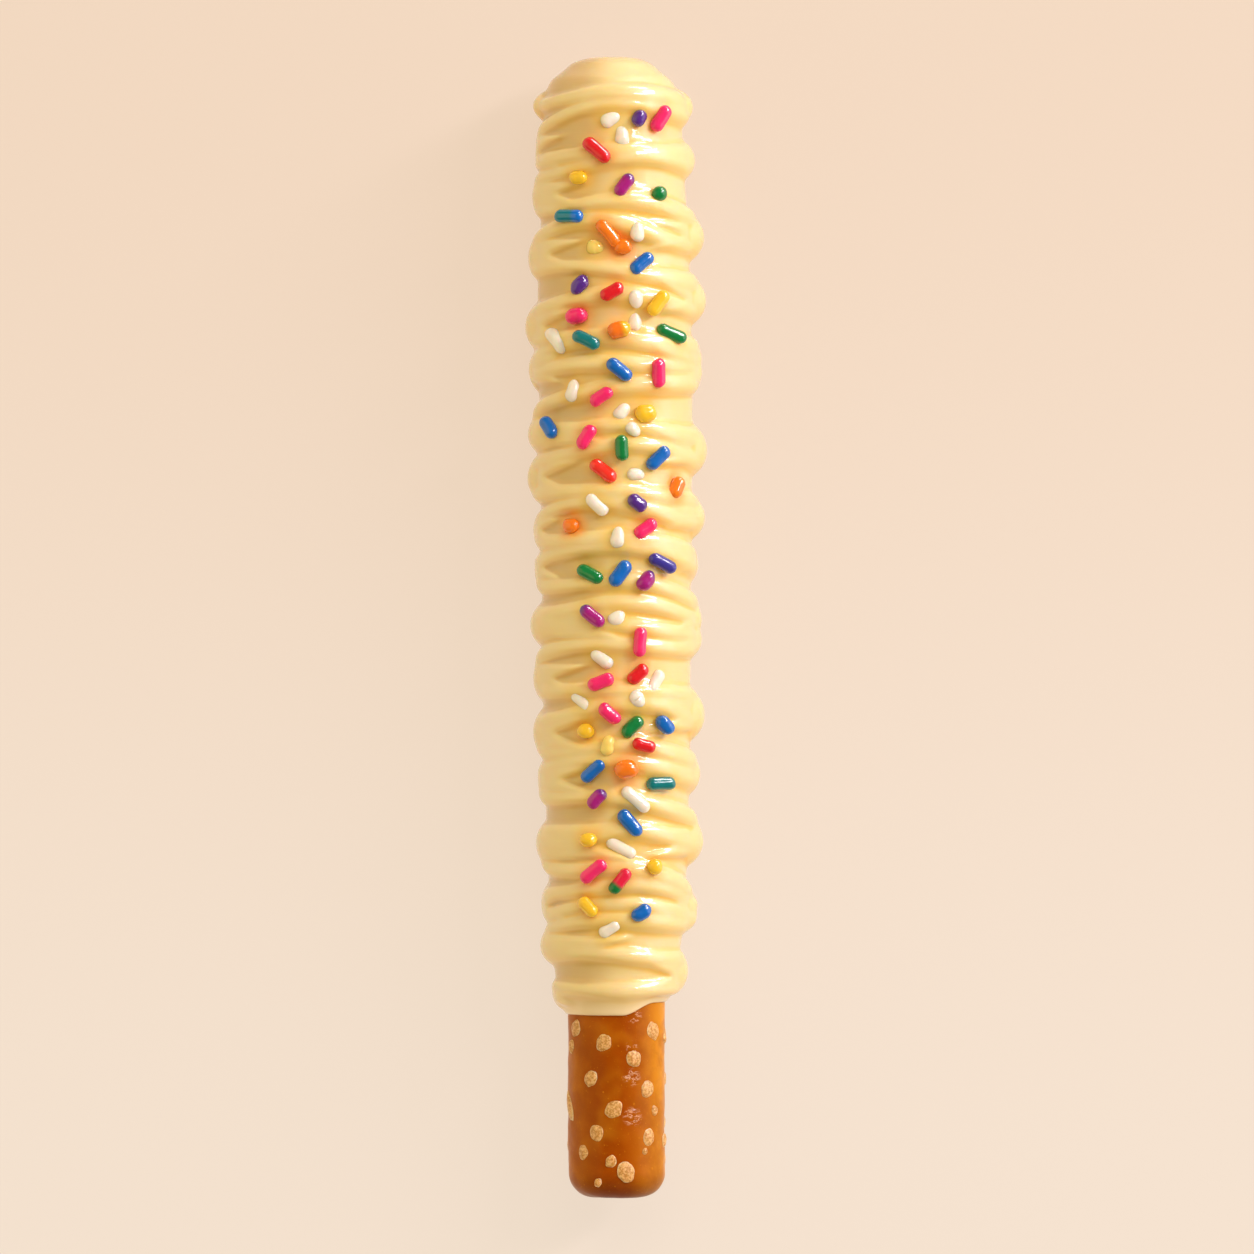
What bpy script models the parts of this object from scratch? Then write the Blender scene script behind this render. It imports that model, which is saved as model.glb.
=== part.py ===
"""A dipped pretzel rod: a baked stick in a pale candy coat, with zigzag drizzle and rainbow sprinkles.

The rod lies on its back along +Y, coated tip at +Y, bare end at -Y, decorated side up (+Z).
The coat set on a flat sheet, so its underside has a long flat spot at Z = 0.
Sizes below are in millimetres, and the meshes are in metres.
"""
import math
import random

import bmesh
import bpy
from mathutils import Matrix, Vector
from mathutils.bvhtree import BVHTree

MM = 0.001
SEED = 7

# Driving sizes of the stick. The origin is under its middle.
LENGTH = 165.0
ROD_RADIUS = 7.0
ROD_END_ROUNDING = 3.6
ROD_END_STEPS = 4
AXIS_HEIGHT = 10.0
COAT_OVER_ROD_TIP = 2.6
TOUCHING_GAP = 0.3
TIP_Y = LENGTH / 2
ROD_TOP_Y = TIP_Y - COAT_OVER_ROD_TIP
BARE_END_Y = -LENGTH / 2

# The dipped coat: distance along the stick, radius, and how far its middle strays in X.
COAT_STATIONS = (
    (82.45, 2.6, -0.6),
    (82.2, 4.3, -0.7),
    (81.6, 5.8, -0.8),
    (80.6, 6.9, -0.8),
    (79.2, 8.7, -0.8),
    (77.7, 9.5, -0.7),
    (72.7, 10.0, -0.6),
    (58.9, 10.6, -0.4),
    (48.8, 11.1, -0.3),
    (32.9, 11.1, -0.1),
    (17.7, 10.9, 0.0),
    (-3.3, 10.7, 0.0),
    (-19.3, 10.5, 0.1),
    (-35.9, 10.0, 0.1),
    (-45.3, 9.4, 0.0),
    (-50.5, 8.7, -0.2),
    (-53.6, 8.1, -0.2),
)
LIP_Y = -55.2
LIP_RADIUS = 7.8
LIP_DROP = 0.65
LIP_RISE = 1.8
LIP_RISE_FROM = 0.12
LIP_RISE_TO = 0.78
LIP_DEPTH = 2.0
TURNED_SIDES = 32

# The drizzle: one strand swung from side to side. Each turn: its place along the stick, how far it
# opens above and below that place, how far it stands out from the coat, and how far in from the side
# its two strands have run together.
LEFT_TURNS = (
    (75.4, 0.5, 1.8, 3.0), (68.5, 2.0, 0.9, 1.5), (62.3, 1.35, 1.4, 7.5), (53.6, 1.75, 1.6, 6.5),
    (43.35, 1.9, 1.9, 5.5), (37.2, 1.55, 1.5, 3.5), (27.8, 1.25, 1.8, 12.0), (21.6, 1.9, 2.0, 5.0),
    (14.0, 1.25, 1.2, 3.5), (8.6, 1.2, 0.7, 4.0), (0.3, 1.55, 1.8, 12.0), (-7.45, 1.75, 1.5, 6.5),
    (-15.3, 1.9, 1.6, 6.5), (-21.9, 1.35, 1.1, 7.5), (-31.4, 1.7, 1.7, 12.0), (-40.2, 1.55, 1.3, 2.5),
    (-46.1, 1.2, 1.8, 12.0), (-53.2, 0.4, 0.9, 3.0),
)
RIGHT_TURNS = (
    (75.3, 0.6, 2.0, 3.0), (67.6, 0.85, 1.7, 5.0), (56.4, 1.6, 2.4, 5.5), (47.2, 1.55, 2.2, 5.5),
    (38.9, 0.6, 1.5, 4.0), (36.9, 0.6, 1.5, 4.0), (25.6, 1.85, 2.2, 5.5), (15.85, 1.2, 2.0, 5.0),
    (9.0, 0.55, 1.0, 4.0), (1.1, 1.0, 1.7, 4.0), (-1.7, 0.9, 1.7, 4.0), (-12.7, 1.85, 2.2, 5.5),
    (-21.3, 1.0, 1.6, 4.5), (-31.0, 1.7, 2.3, 5.5), (-40.3, 0.5, 2.0, 4.0), (-41.9, 0.5, 2.0, 4.0),
    (-50.2, 1.35, 1.8, 4.5),
)
TURN_ANGLE = math.radians(98.0)
LEFT_TURN_SHARE = 0.28
RIGHT_TURN_SHARE = 0.22
TURN_OPENS_MORE = 0.28
STRAND_RADIUS = 1.35
STRAND_HEIGHT = 1.1
STRAND_AT_TURN = 0.7
HEIGHT_ALLOWANCE = 0.3
STRAND_LEVELS_OFF = 0.3
POINTS_A_STRAND = 24

# The lobe that fills a turn: where it is highest round the coat, its reach round the back, its most
# reach round the front, and how far it stands past the turn's opening on the left and on the right.
LOBE_ANGLE = math.radians(92.0)
LOBE_BEHIND = 3.4
LOBE_MOST_BEFORE = 5.0
LEFT_LOBE_PAST = 1.7
RIGHT_LOBE_PAST = 2.0
LOBE_DEPTH = 3.0

# Each strand bows towards the tip on its way across, more on the way back to the left, and wavers.
# The last one, above the lip, lies almost straight.
ARCH_TO_LEFT = 2.2
ARCH_TO_RIGHT = 1.6
ARCH_OF_LAST = -0.4
ARCH_UNEVENNESS = 0.3
ARCH_MIDDLE = 0.0
ARCH_STRAY = 0.25
ARCH_WIDTH = 0.6
STRAND_WAVER = 0.3

# How finely the coat and drizzle flow together, and the faces they are then drawn with.
MELT_GRAIN = 0.45
MELT_SMOOTHING = 4
COAT_TRIANGLES = 6500

# Sprinkles sit part sunk, tilted a little with the drizzle. The shorter ones are fatter.
SPRINKLE_RADIUS = 1.0
BEAN_RADIUS = 1.1
BEAN_LENGTH = 3.3
SPRINKLE_RISE = 0.45
WHITE_FULLNESS = 0.96
WHITE_BEAN_FULLNESS = 1.12
WHITE_RISE = -0.2
SUNK_KINDS = ("white", "pale_yellow")
SEAT_FOLLOWS_DRIZZLE = 0.35
SEAT_FACES_UP = 0.35
DROP_HEIGHT = 60.0
FACET_ALLOWANCE = 1.1

# Each sprinkle: across (X), along (Y), its turn in degrees from across, its length, and its width
# where that is out of the ordinary. The places are read level with the stick's axis, from far above,
# and draw in a little on top of the coat.
PLACES_DRAW_IN = 0.993
SPRINKLES = {
    "white": (
        (-0.9, 73.5, 30, 3.0), (0.8, 71.1, 90, 3.1), (3.1, 57.2, 90, 2.9), (2.8, 47.5, -80, 2.6),
        (2.6, 44.1, 80, 2.7), (-8.8, 41.5, -45, 4.4), (-6.4, 34.3, 80, 3.2), (0.7, 31.2, 50, 3.0),
        (2.4, 28.6, -45, 2.4), (2.8, 22.0, 0, 2.6), (-2.8, 17.7, -42, 3.9), (0.1, 13.0, 80, 3.1),
        (0.0, 1.4, 40, 2.7), (-2.1, -4.6, -38, 3.7), (5.6, -8.0, 55, 4.1), (-5.1, -10.9, -42, 3.9),
        (3.1, -10.4, -50, 2.5), (2.8, -25.0, -40, 4.9), (0.7, -32.0, -30, 4.8), (-1.0, -43.7, 35, 3.5),
    ),
    "yellow": (
        (-5.4, 65.1, 0, 2.7), (5.9, 46.9, 50, 4.2), (4.1, 31.0, 10, 3.1, 2.8),
        (-4.3, -15.1, 0, 2.6), (-4.0, -30.8, 0, 2.6), (5.4, -34.8, 0, 2.4), (-4.0, -40.5, -45, 3.4),
    ),
    "pale_yellow": (
        (-3.1, 54.9, 0, 2.3), (-1.3, -17.1, 80, 2.9),
    ),
    "orange": (
        (-1.2, 57.0, -50, 4.6), (0.9, 55.0, 0, 2.6), (-6.4, 14.8, 0, 2.6), (1.4, -20.6, 10, 3.5, 3.05),
        (8.4, 20.2, 60, 3.4),
    ),
    "orange_to_yellow": (
        (0.4, 42.8, 15, 3.4, 2.55),
    ),
    "red": (
        (-2.8, 69.0, -40, 4.8), (-0.7, 48.5, 30, 3.7), (3.0, -6.8, 42, 3.6),
        (3.9, -17.1, -15, 3.5),
    ),
    "scarlet": (
        (-1.9, 22.6, -38, 4.5),
    ),
    "pink": (
        (6.2, 73.8, 55, 4.2), (-5.6, 45.0, 10, 3.2, 2.65), (6.0, 36.8, -87, 4.2, 2.15), (-2.1, 33.3, 35, 3.8),
        (-4.2, 27.4, 58, 3.9), (4.1, 14.2, 35, 3.9), (3.4, -2.2, 85, 4.3), (-2.2, -8.0, 20, 4.0),
        (-0.9, -12.4, -42, 3.8), (-3.2, -35.4, 38, 4.5),
    ),
    "magenta_to_purple": (
        (1.1, 64.0, 52, 3.7), (4.1, 6.7, 45, 3.1), (-2.7, -24.9, 47, 3.4), (-3.4, 1.6, 142, 4.2),
    ),
    "purple": (
        (3.2, 73.7, 60, 2.5), (-5.2, 49.5, 48, 3.2), (3.0, 18.0, -40, 3.1),
    ),
    "indigo": (
        (6.5, 9.3, -28, 4.6),
    ),
    "blue": (
        (3.6, 52.5, 40, 4.1), (0.4, 37.3, -40, 4.3), (-9.6, 28.9, -50, 3.6), (5.9, 24.5, 42, 4.3),
        (0.5, 7.7, 55, 4.3), (6.9, -14.3, -45, 3.2), (-3.3, -20.8, 42, 4.3), (1.9, -28.4, -50, 4.6),
        (3.5, -41.3, 30, 3.1),
    ),
    "teal_to_blue": (
        (-6.7, 59.4, -4, 4.5),
    ),
    "teal": (
        (-4.3, 41.5, -25, 4.3), (6.3, -22.7, 0, 4.5),
    ),
    "green": (
        (6.0, 62.7, 0, 2.4), (7.8, 42.5, -15, 4.8), (0.8, 25.9, -87, 3.8), (-3.7, 7.6, -28, 4.2),
        (2.3, -14.5, 42, 3.8),
    ),
    "red_to_green": (
        (0.5, -36.8, 232, 4.3),
    ),
}

# Salt on the bare stretch: across, along, relative size and, where it is long, how much longer, on
# the front, and then rows round the rest.
FRONT_SALT = (
    (-5.9, -57.9, 1.0), (5.3, -58.3, 1.05), (-1.8, -59.9, 1.05), (2.5, -62.2, 0.95), (-3.7, -65.1, 0.95),
    (4.5, -66.6, 1.0), (-6.75, -69.2, 0.8, 2.3), (-0.4, -69.5, 1.1), (5.5, -69.8, 0.6), (-2.8, -72.9, 1.0),
    (4.7, -73.6, 0.95), (-4.8, -75.8, 0.85), (-0.8, -77.0, 0.7), (1.4, -78.6, 1.15), (4.1, -75.6, 0.4),
    (-2.7, -80.1, 0.5), (-6.5, -60.6, 0.8), (6.9, -74.2, 0.8), (6.9, -59.5, 0.6),
)
SALT_LENGTH = 2.7
SALT_WIDTH = 2.2
SALT_HEIGHT = 1.2
SALT_SUNK = 0.32
SALT_TURN = 0.5
BACK_SALT_ROWS = 7
BACK_SALT_IN_ROW = 4
BACK_SALT_FROM = math.radians(105.0)
BACK_SALT_STEP = math.radians(42.0)
BACK_SALT_FIRST_Y = -58.5
BACK_SALT_PITCH = 3.2
BACK_SALT_STRAY_ANGLE = 0.12
BACK_SALT_STRAY = 0.6
BACK_SALT_SIZES = (0.7, 1.1)

COAT_COLOUR = (0.93, 0.76, 0.40)
CRUST_COLOUR = (0.42, 0.14, 0.03)
SMOOTH_UNDER = math.radians(40.0)
WELD = 0.00001


def smooth_value(stations, column, y):
    """One column of the stations at a place along the stick, on a smooth curve through them."""
    if y >= stations[0][0]:
        return stations[0][column]
    if y <= stations[-1][0]:
        return stations[-1][column]
    index = next(i for i in range(len(stations) - 1) if stations[i + 1][0] <= y)
    near, far = stations[index], stations[index + 1]
    before = stations[max(index - 1, 0)]
    after = stations[min(index + 2, len(stations) - 1)]
    span = far[0] - near[0]
    part = (y - near[0]) / span
    slope_near = (far[column] - before[column]) / (far[0] - before[0]) * span
    slope_far = (after[column] - near[column]) / (after[0] - near[0]) * span
    return (
        near[column] * (2 * part**3 - 3 * part**2 + 1)
        + slope_near * (part**3 - 2 * part**2 + part)
        + far[column] * (3 * part**2 - 2 * part**3)
        + slope_far * (part**3 - part**2)
    )


def coat_radius(y):
    return smooth_value(COAT_STATIONS, 1, y)


def coat_middle(y):
    return smooth_value(COAT_STATIONS, 2, y)


def on_coat(y, angle, lift):
    """A point at an angle from the top of the coat, towards +X, and a height above its surface."""
    reach = coat_radius(y) + lift
    return Vector((
        coat_middle(y) + reach * math.sin(angle),
        y,
        AXIS_HEIGHT + reach * math.cos(angle),
    ))


def new_object(name, mesh, collection):
    piece = bpy.data.objects.new(name, mesh)
    collection.objects.link(piece)
    return piece


def food_material(name, colour, roughness):
    material = bpy.data.materials.new(name)
    material.use_nodes = True
    shader = material.node_tree.nodes["Principled BSDF"]
    shader.inputs["Base Color"].default_value = (*colour, 1.0)
    shader.inputs["Roughness"].default_value = roughness
    shader.inputs["Metallic"].default_value = 0.0
    return material


def evaluated_mesh(piece):
    """A new mesh of the piece as its modifiers leave it."""
    depsgraph = bpy.context.evaluated_depsgraph_get()
    return bpy.data.meshes.new_from_object(piece.evaluated_get(depsgraph))


def turned(name, profile, collection):
    """A closed mesh turned round +Y, from (radius, y) points in millimetres."""
    mesh = bpy.data.meshes.new(name)
    points = [(radius * MM, y * MM, 0.0) for radius, y in profile]
    mesh.from_pydata(points, [(i, i + 1) for i in range(len(points) - 1)], [])
    piece = new_object(name, mesh, collection)
    screw = piece.modifiers.new("Turned", "SCREW")
    screw.axis = "Y"
    screw.steps = TURNED_SIDES
    screw.render_steps = TURNED_SIDES
    screw.use_merge_vertices = True
    screw.merge_threshold = WELD
    piece.data = evaluated_mesh(piece)
    piece.modifiers.clear()
    bpy.data.meshes.remove(mesh)
    face_outwards(piece.data)
    return piece


def face_outwards(mesh):
    """Welds loose caps and points every face out."""
    shape = bmesh.new()
    shape.from_mesh(mesh)
    bmesh.ops.remove_doubles(shape, verts=shape.verts, dist=WELD)
    bmesh.ops.recalc_face_normals(shape, faces=shape.faces)
    shape.to_mesh(mesh)
    shape.free()


def lip_wave(angle):
    """How far the lip lies from its middle height: lower round the left, higher on the right."""
    part = (math.sin(angle) - LIP_RISE_FROM) / (LIP_RISE_TO - LIP_RISE_FROM)
    part = min(max(part, 0.0), 1.0)
    return LIP_RISE * part**2 * (3 - 2 * part) - LIP_DROP


def make_base_coat(collection):
    """The dipped coat before its bore and its flat back are cut, with an uneven lip."""
    outer = [(0.0, TIP_Y)] + [(radius, y) for y, radius, _ in COAT_STATIONS]
    profile = outer + [(LIP_RADIUS, LIP_Y), (0.0, LIP_Y)]
    piece = turned("chocolate_coating", profile, collection)
    for vertex in piece.data.vertices:
        x, y, z = (value / MM for value in vertex.co)
        angle = math.atan2(x, z)
        if y < LIP_Y + LIP_DEPTH:
            y += lip_wave(angle)
        vertex.co = Vector((x + coat_middle(y), y, z + AXIS_HEIGHT)) * MM
    return piece


def easing(part, share):
    """Falls from 1 at a turn to 0 where the strand has left it."""
    return 1 - math.sin(min(part / share, 1.0) * math.pi / 2)


def strand_points(left, right, side, chance):
    """One swing of the drizzle over the front, from a turn on the left to one on the right."""
    (left_y, left_opening, left_height, _), (right_y, right_opening, right_height, _) = left, right
    left_opening += TURN_OPENS_MORE
    arch = ARCH_TO_RIGHT if side > 0 else ARCH_TO_LEFT
    arch *= 1 + chance.uniform(-ARCH_UNEVENNESS, ARCH_UNEVENNESS)
    if left_y == LEFT_TURNS[-1][0]:
        arch = ARCH_OF_LAST
    peak = ARCH_MIDDLE + chance.uniform(-ARCH_STRAY, ARCH_STRAY)
    waves, wave_start = chance.uniform(8, 14), chance.uniform(0, 6)
    points = []
    for step in range(POINTS_A_STRAND):
        part = step / (POINTS_A_STRAND - 1)
        across = -math.cos(math.pi * part)
        free = math.sin(math.pi * part)
        y = (left_y - side * left_opening) * (1 - part) + (right_y + side * right_opening) * part
        y += side * left_opening * easing(part, LEFT_TURN_SHARE)
        y -= side * right_opening * easing(1 - part, RIGHT_TURN_SHARE)
        y += arch * math.exp(-(((across - peak) / ARCH_WIDTH) ** 2)) * free
        y += STRAND_WAVER * math.sin(part * waves + wave_start) * free
        height = STRAND_AT_TURN * (left_height if part < 0.5 else right_height)
        level = min(1.0, min(part, 1 - part) / STRAND_LEVELS_OFF)
        height += (STRAND_HEIGHT - height) * level
        points.append(on_coat(y, across * TURN_ANGLE, height + HEIGHT_ALLOWANCE - STRAND_RADIUS))
    return points


def drizzle_route():
    """The whole zigzag, in millimetres, from its first turn on the left down to the lip."""
    chance = random.Random(SEED)
    route = []
    for left, right, next_left in zip(LEFT_TURNS, RIGHT_TURNS, LEFT_TURNS[1:]):
        route += strand_points(left, right, 1, chance)[:-1]
        route += reversed(strand_points(next_left, right, -1, chance)[1:])
    return route


def make_drizzle(collection):
    """The drizzle as one tube with closed ends."""
    curve = bpy.data.curves.new("drizzle_route", "CURVE")
    curve.dimensions = "3D"
    curve.bevel_depth = STRAND_RADIUS * MM
    curve.bevel_resolution = 2
    curve.use_fill_caps = True
    route = drizzle_route()
    spline = curve.splines.new("POLY")
    spline.points.add(len(route) - 1)
    for point, place in zip(spline.points, route):
        point.co = (*(place * MM), 1.0)
    guide = new_object("drizzle_route", curve, collection)
    mesh = evaluated_mesh(guide)
    face_outwards(mesh)
    piece = new_object("drizzle", mesh, collection)
    piece.matrix_world = guide.matrix_world
    bpy.data.objects.remove(guide)
    return piece


def add_lobe(shape, side, turn, past):
    """One turn's lobe: a flattened ball that fills the turn at the side of the coat."""
    middle, opening, height, closed = turn
    before = min(closed, LOBE_MOST_BEFORE)
    angle = LOBE_ANGLE + (LOBE_BEHIND - before) / 2 / coat_radius(middle)
    across = Vector((side * math.cos(angle), 0.0, -math.sin(angle)))
    outward = Vector((side * math.sin(angle), 0.0, math.cos(angle)))
    size = Vector(((before + LOBE_BEHIND) / 2, opening + past, LOBE_DEPTH))
    place = on_coat(middle, side * angle, height + HEIGHT_ALLOWANCE - LOBE_DEPTH)
    made = bmesh.ops.create_icosphere(shape, subdivisions=3, radius=1.0)["verts"]
    turned_to = Matrix((across, Vector((0.0, 1.0, 0.0)), outward)).transposed()
    for vertex in made:
        local = Vector(a * b for a, b in zip(vertex.co, size))
        vertex.co = (turned_to @ local + place) * MM


def flow_together(coat, drizzle):
    """Melts the drizzle and its lobes into the coat as one soft skin, with a fillet where they meet."""
    shape = bmesh.new()
    shape.from_mesh(coat.data)
    shape.from_mesh(drizzle.data)
    for turn in LEFT_TURNS:
        add_lobe(shape, -1, turn, LEFT_LOBE_PAST)
    for turn in RIGHT_TURNS:
        add_lobe(shape, 1, turn, RIGHT_LOBE_PAST)
    bmesh.ops.recalc_face_normals(shape, faces=shape.faces)
    shape.to_mesh(coat.data)
    shape.free()
    bpy.data.objects.remove(drizzle)
    melted = coat.modifiers.new("Melted", "REMESH")
    melted.mode = "VOXEL"
    melted.voxel_size = MELT_GRAIN * MM
    soft = coat.modifiers.new("Soft", "SMOOTH")
    soft.factor = 0.5
    soft.iterations = MELT_SMOOTHING
    coat.data = evaluated_mesh(coat)
    coat.modifiers.clear()
    fewer = coat.modifiers.new("Fewer_faces", "DECIMATE")
    fewer.ratio = COAT_TRIANGLES / (2 * len(coat.data.polygons))
    coat.data = evaluated_mesh(coat)
    coat.modifiers.clear()


def rounded_end(radius, y, way):
    """(radius, y) points of a rounded end of the rod or its bore, from the flat out to the side."""
    points = []
    for step in range(ROD_END_STEPS + 1):
        turn = math.pi / 2 * step / ROD_END_STEPS
        inwards = ROD_END_ROUNDING * (1 - math.sin(turn))
        along = ROD_END_ROUNDING * (1 - math.cos(turn))
        points.append((radius - inwards, y + way * along))
    return points


def make_cutters(collection):
    """What leaves room for the rod, and for the sheet that the coat set on."""
    top = ROD_TOP_Y + TOUCHING_GAP
    radius = ROD_RADIUS + TOUCHING_GAP
    profile = [(0.0, top), *rounded_end(radius, top, -1)]
    profile += [(radius, LIP_Y - LIP_DEPTH), (0.0, LIP_Y - LIP_DEPTH)]
    bore = turned("bore", profile, collection)
    bore.data.transform(Matrix.Translation((0.0, 0.0, AXIS_HEIGHT * MM)))
    shape = bmesh.new()
    bmesh.ops.create_cube(shape, size=2 * LENGTH * MM)
    bmesh.ops.translate(shape, verts=shape.verts, vec=(0.0, 0.0, -LENGTH * MM))
    mesh = bpy.data.meshes.new("sheet")
    shape.to_mesh(mesh)
    shape.free()
    sheet = new_object("sheet", mesh, collection)
    for cutter in (bore, sheet):
        cutter.hide_render = True
        cutter.display_type = "WIRE"


def surface_of(piece):
    """What a ray meets on a piece."""
    shape = bmesh.new()
    shape.from_mesh(piece.data)
    tree = BVHTree.FromBMesh(shape)
    shape.free()
    return tree


def seat(tree, x, y, turn):
    """Where a sprinkle dropped at (x, y) lands: its place in millimetres, and its three axes."""
    place, normal, _, _ = tree.ray_cast(Vector((x, y, DROP_HEIGHT)) * MM, Vector((0.0, 0.0, -1.0)))
    place = place / MM
    outward = Vector((x - coat_middle(y), 0.0, place.z - AXIS_HEIGHT)).normalized()
    normal = outward.lerp(normal, SEAT_FOLLOWS_DRIZZLE).normalized()
    normal = normal.lerp(Vector((0.0, 0.0, 1.0)), SEAT_FACES_UP).normalized()
    along = Vector((math.cos(turn), math.sin(turn), 0.0))
    along = (along - normal * along.dot(normal)).normalized()
    return place, along, normal.cross(along), normal


def put(piece, place, axes):
    """Moves a small piece's mesh to its place, so that the object stays at the origin."""
    turn = Matrix(axes).transposed().to_4x4()
    piece.data.transform(Matrix.Translation(place * MM) @ turn)


def make_sprinkle(name, length, radius, collection):
    """A small sprinkle with blunt round ends, lying along its own X."""
    shape = bmesh.new()
    bmesh.ops.create_uvsphere(shape, u_segments=6, v_segments=3, radius=radius * FACET_ALLOWANCE * MM)
    bmesh.ops.rotate(shape, verts=shape.verts, matrix=Matrix.Rotation(math.pi / 2, 3, "Y"))
    straight = max(0.0, length / 2 - radius) * MM
    for vertex in shape.verts:
        vertex.co.x += math.copysign(straight, vertex.co.x)
    mesh = bpy.data.meshes.new(name)
    shape.to_mesh(mesh)
    shape.free()
    return new_object(name, mesh, collection)


def make_sprinkles(tree, collection):
    """Every sprinkle, part sunk in the coat or drizzle that it fell on."""
    for colour, places in SPRINKLES.items():
        for number, (x, y, turn, length, *width) in enumerate(places):
            bean = length <= BEAN_LENGTH
            radius = BEAN_RADIUS if bean else SPRINKLE_RADIUS
            if width:
                radius = width[0] / 2
            rise = SPRINKLE_RISE
            if colour in SUNK_KINDS:
                radius *= WHITE_BEAN_FULLNESS if bean else WHITE_FULLNESS
                rise = WHITE_RISE
            piece = make_sprinkle(f"{colour}_{number}", length, radius, collection)
            place, *axes = seat(tree, x * PLACES_DRAW_IN, y * PLACES_DRAW_IN, math.radians(turn))
            put(piece, place + axes[2] * radius * rise, axes)


def salt_places():
    """Where the grains of salt lie: an angle from the top, a Y, a size and how drawn out they are."""
    chance = random.Random(SEED)
    for x, y, size, *longer in FRONT_SALT:
        yield math.asin(x / ROD_RADIUS), y, size, longer[0] if longer else 1.0
    for row in range(BACK_SALT_ROWS):
        for number in range(BACK_SALT_IN_ROW):
            angle = BACK_SALT_FROM + BACK_SALT_STEP * (number + 0.5 * (row % 2))
            angle += chance.uniform(-BACK_SALT_STRAY_ANGLE, BACK_SALT_STRAY_ANGLE)
            y = BACK_SALT_FIRST_Y - BACK_SALT_PITCH * row
            y += chance.uniform(-BACK_SALT_STRAY, BACK_SALT_STRAY)
            yield angle, y, chance.uniform(*BACK_SALT_SIZES), 1.0


def make_salt(collection):
    """Grains of salt baked into the rod, each a little uneven."""
    chance = random.Random(SEED + 1)
    for number, (angle, y, scale, longer) in enumerate(salt_places()):
        shape = bmesh.new()
        bmesh.ops.create_icosphere(shape, subdivisions=1, radius=1.0)
        size = Vector((SALT_WIDTH * scale, SALT_LENGTH * scale * longer, SALT_HEIGHT)) / 2 * MM
        bmesh.ops.scale(shape, verts=shape.verts, vec=size)
        mesh = bpy.data.meshes.new(f"salt_{number}")
        shape.to_mesh(mesh)
        shape.free()
        outward = Vector((math.sin(angle), 0.0, math.cos(angle)))
        spin = Matrix.Rotation(chance.uniform(-SALT_TURN, SALT_TURN), 3, outward)
        axes = (spin @ Vector((outward.z, 0.0, -outward.x)), spin @ Vector((0.0, 1.0, 0.0)), outward)
        place = outward * (ROD_RADIUS - SALT_SUNK) + Vector((0.0, y, AXIS_HEIGHT))
        put(new_object(f"salt_{number}", mesh, collection), place, axes)


def make_rod(collection):
    """The baked stick, from its rounded bare end to the rounded end inside the coat."""
    bare_length = LIP_Y - BARE_END_Y
    bare = [(ROD_RADIUS, BARE_END_Y + bare_length * part) for part in (0.4, 0.7, 1.0)]
    profile = [(0.0, BARE_END_Y), *rounded_end(ROD_RADIUS, BARE_END_Y, 1), *bare, (ROD_RADIUS, 0.0)]
    profile += [*reversed(rounded_end(ROD_RADIUS, ROD_TOP_Y, -1)), (0.0, ROD_TOP_Y)]
    piece = turned("pretzel_rod", profile, collection)
    piece.data.transform(Matrix.Translation((0.0, 0.0, AXIS_HEIGHT * MM)))
    return piece


def combine(piece, others, operation):
    """Cuts a collection of shapes from a piece, or joins them to it, and removes them."""
    step = piece.modifiers.new(operation.title(), "BOOLEAN")
    step.operation = operation
    step.operand_type = "COLLECTION"
    step.collection = others
    step.solver = "EXACT"
    piece.data = evaluated_mesh(piece)
    piece.modifiers.clear()
    for other in list(others.objects):
        bpy.data.objects.remove(other)
    bpy.data.collections.remove(others)


def finish(piece, material):
    piece.data.materials.clear()
    piece.data.materials.append(material)
    piece.data.shade_smooth()
    piece.data.set_sharp_from_angle(angle=SMOOTH_UNDER)


def new_collection(name):
    collection = bpy.data.collections.new(name)
    bpy.context.scene.collection.children.link(collection)
    return collection


def main():
    for piece in list(bpy.data.objects):
        bpy.data.objects.remove(piece)
    model = new_collection("chocolate_covered_pretzel")
    cutters = new_collection("cutters")
    toppings = new_collection("toppings")
    salt = new_collection("salt")

    coat = make_base_coat(model)
    flow_together(coat, make_drizzle(model))
    make_cutters(cutters)
    combine(coat, cutters, "DIFFERENCE")
    make_sprinkles(surface_of(coat), toppings)
    combine(coat, toppings, "UNION")
    finish(coat, food_material("pale_candy_coat", COAT_COLOUR, 0.3))

    rod = make_rod(model)
    make_salt(salt)
    combine(rod, salt, "UNION")
    finish(rod, food_material("baked_crust", CRUST_COLOUR, 0.4))


main()
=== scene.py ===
"""The looks of a dipped pretzel rod: a pale yellow candy coat with drizzle and sprinkles, on a baked stick.

The rod lies on its back along +Y, coated tip at +Y, and the camera looks straight down on its front.
Lengths are in millimetres, and each mesh is turned into metres as it is made.
"""
import math
import random

import bmesh
import bpy
import numpy as np
from mathutils import Matrix, Vector, noise
from mathutils.bvhtree import BVHTree


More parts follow.
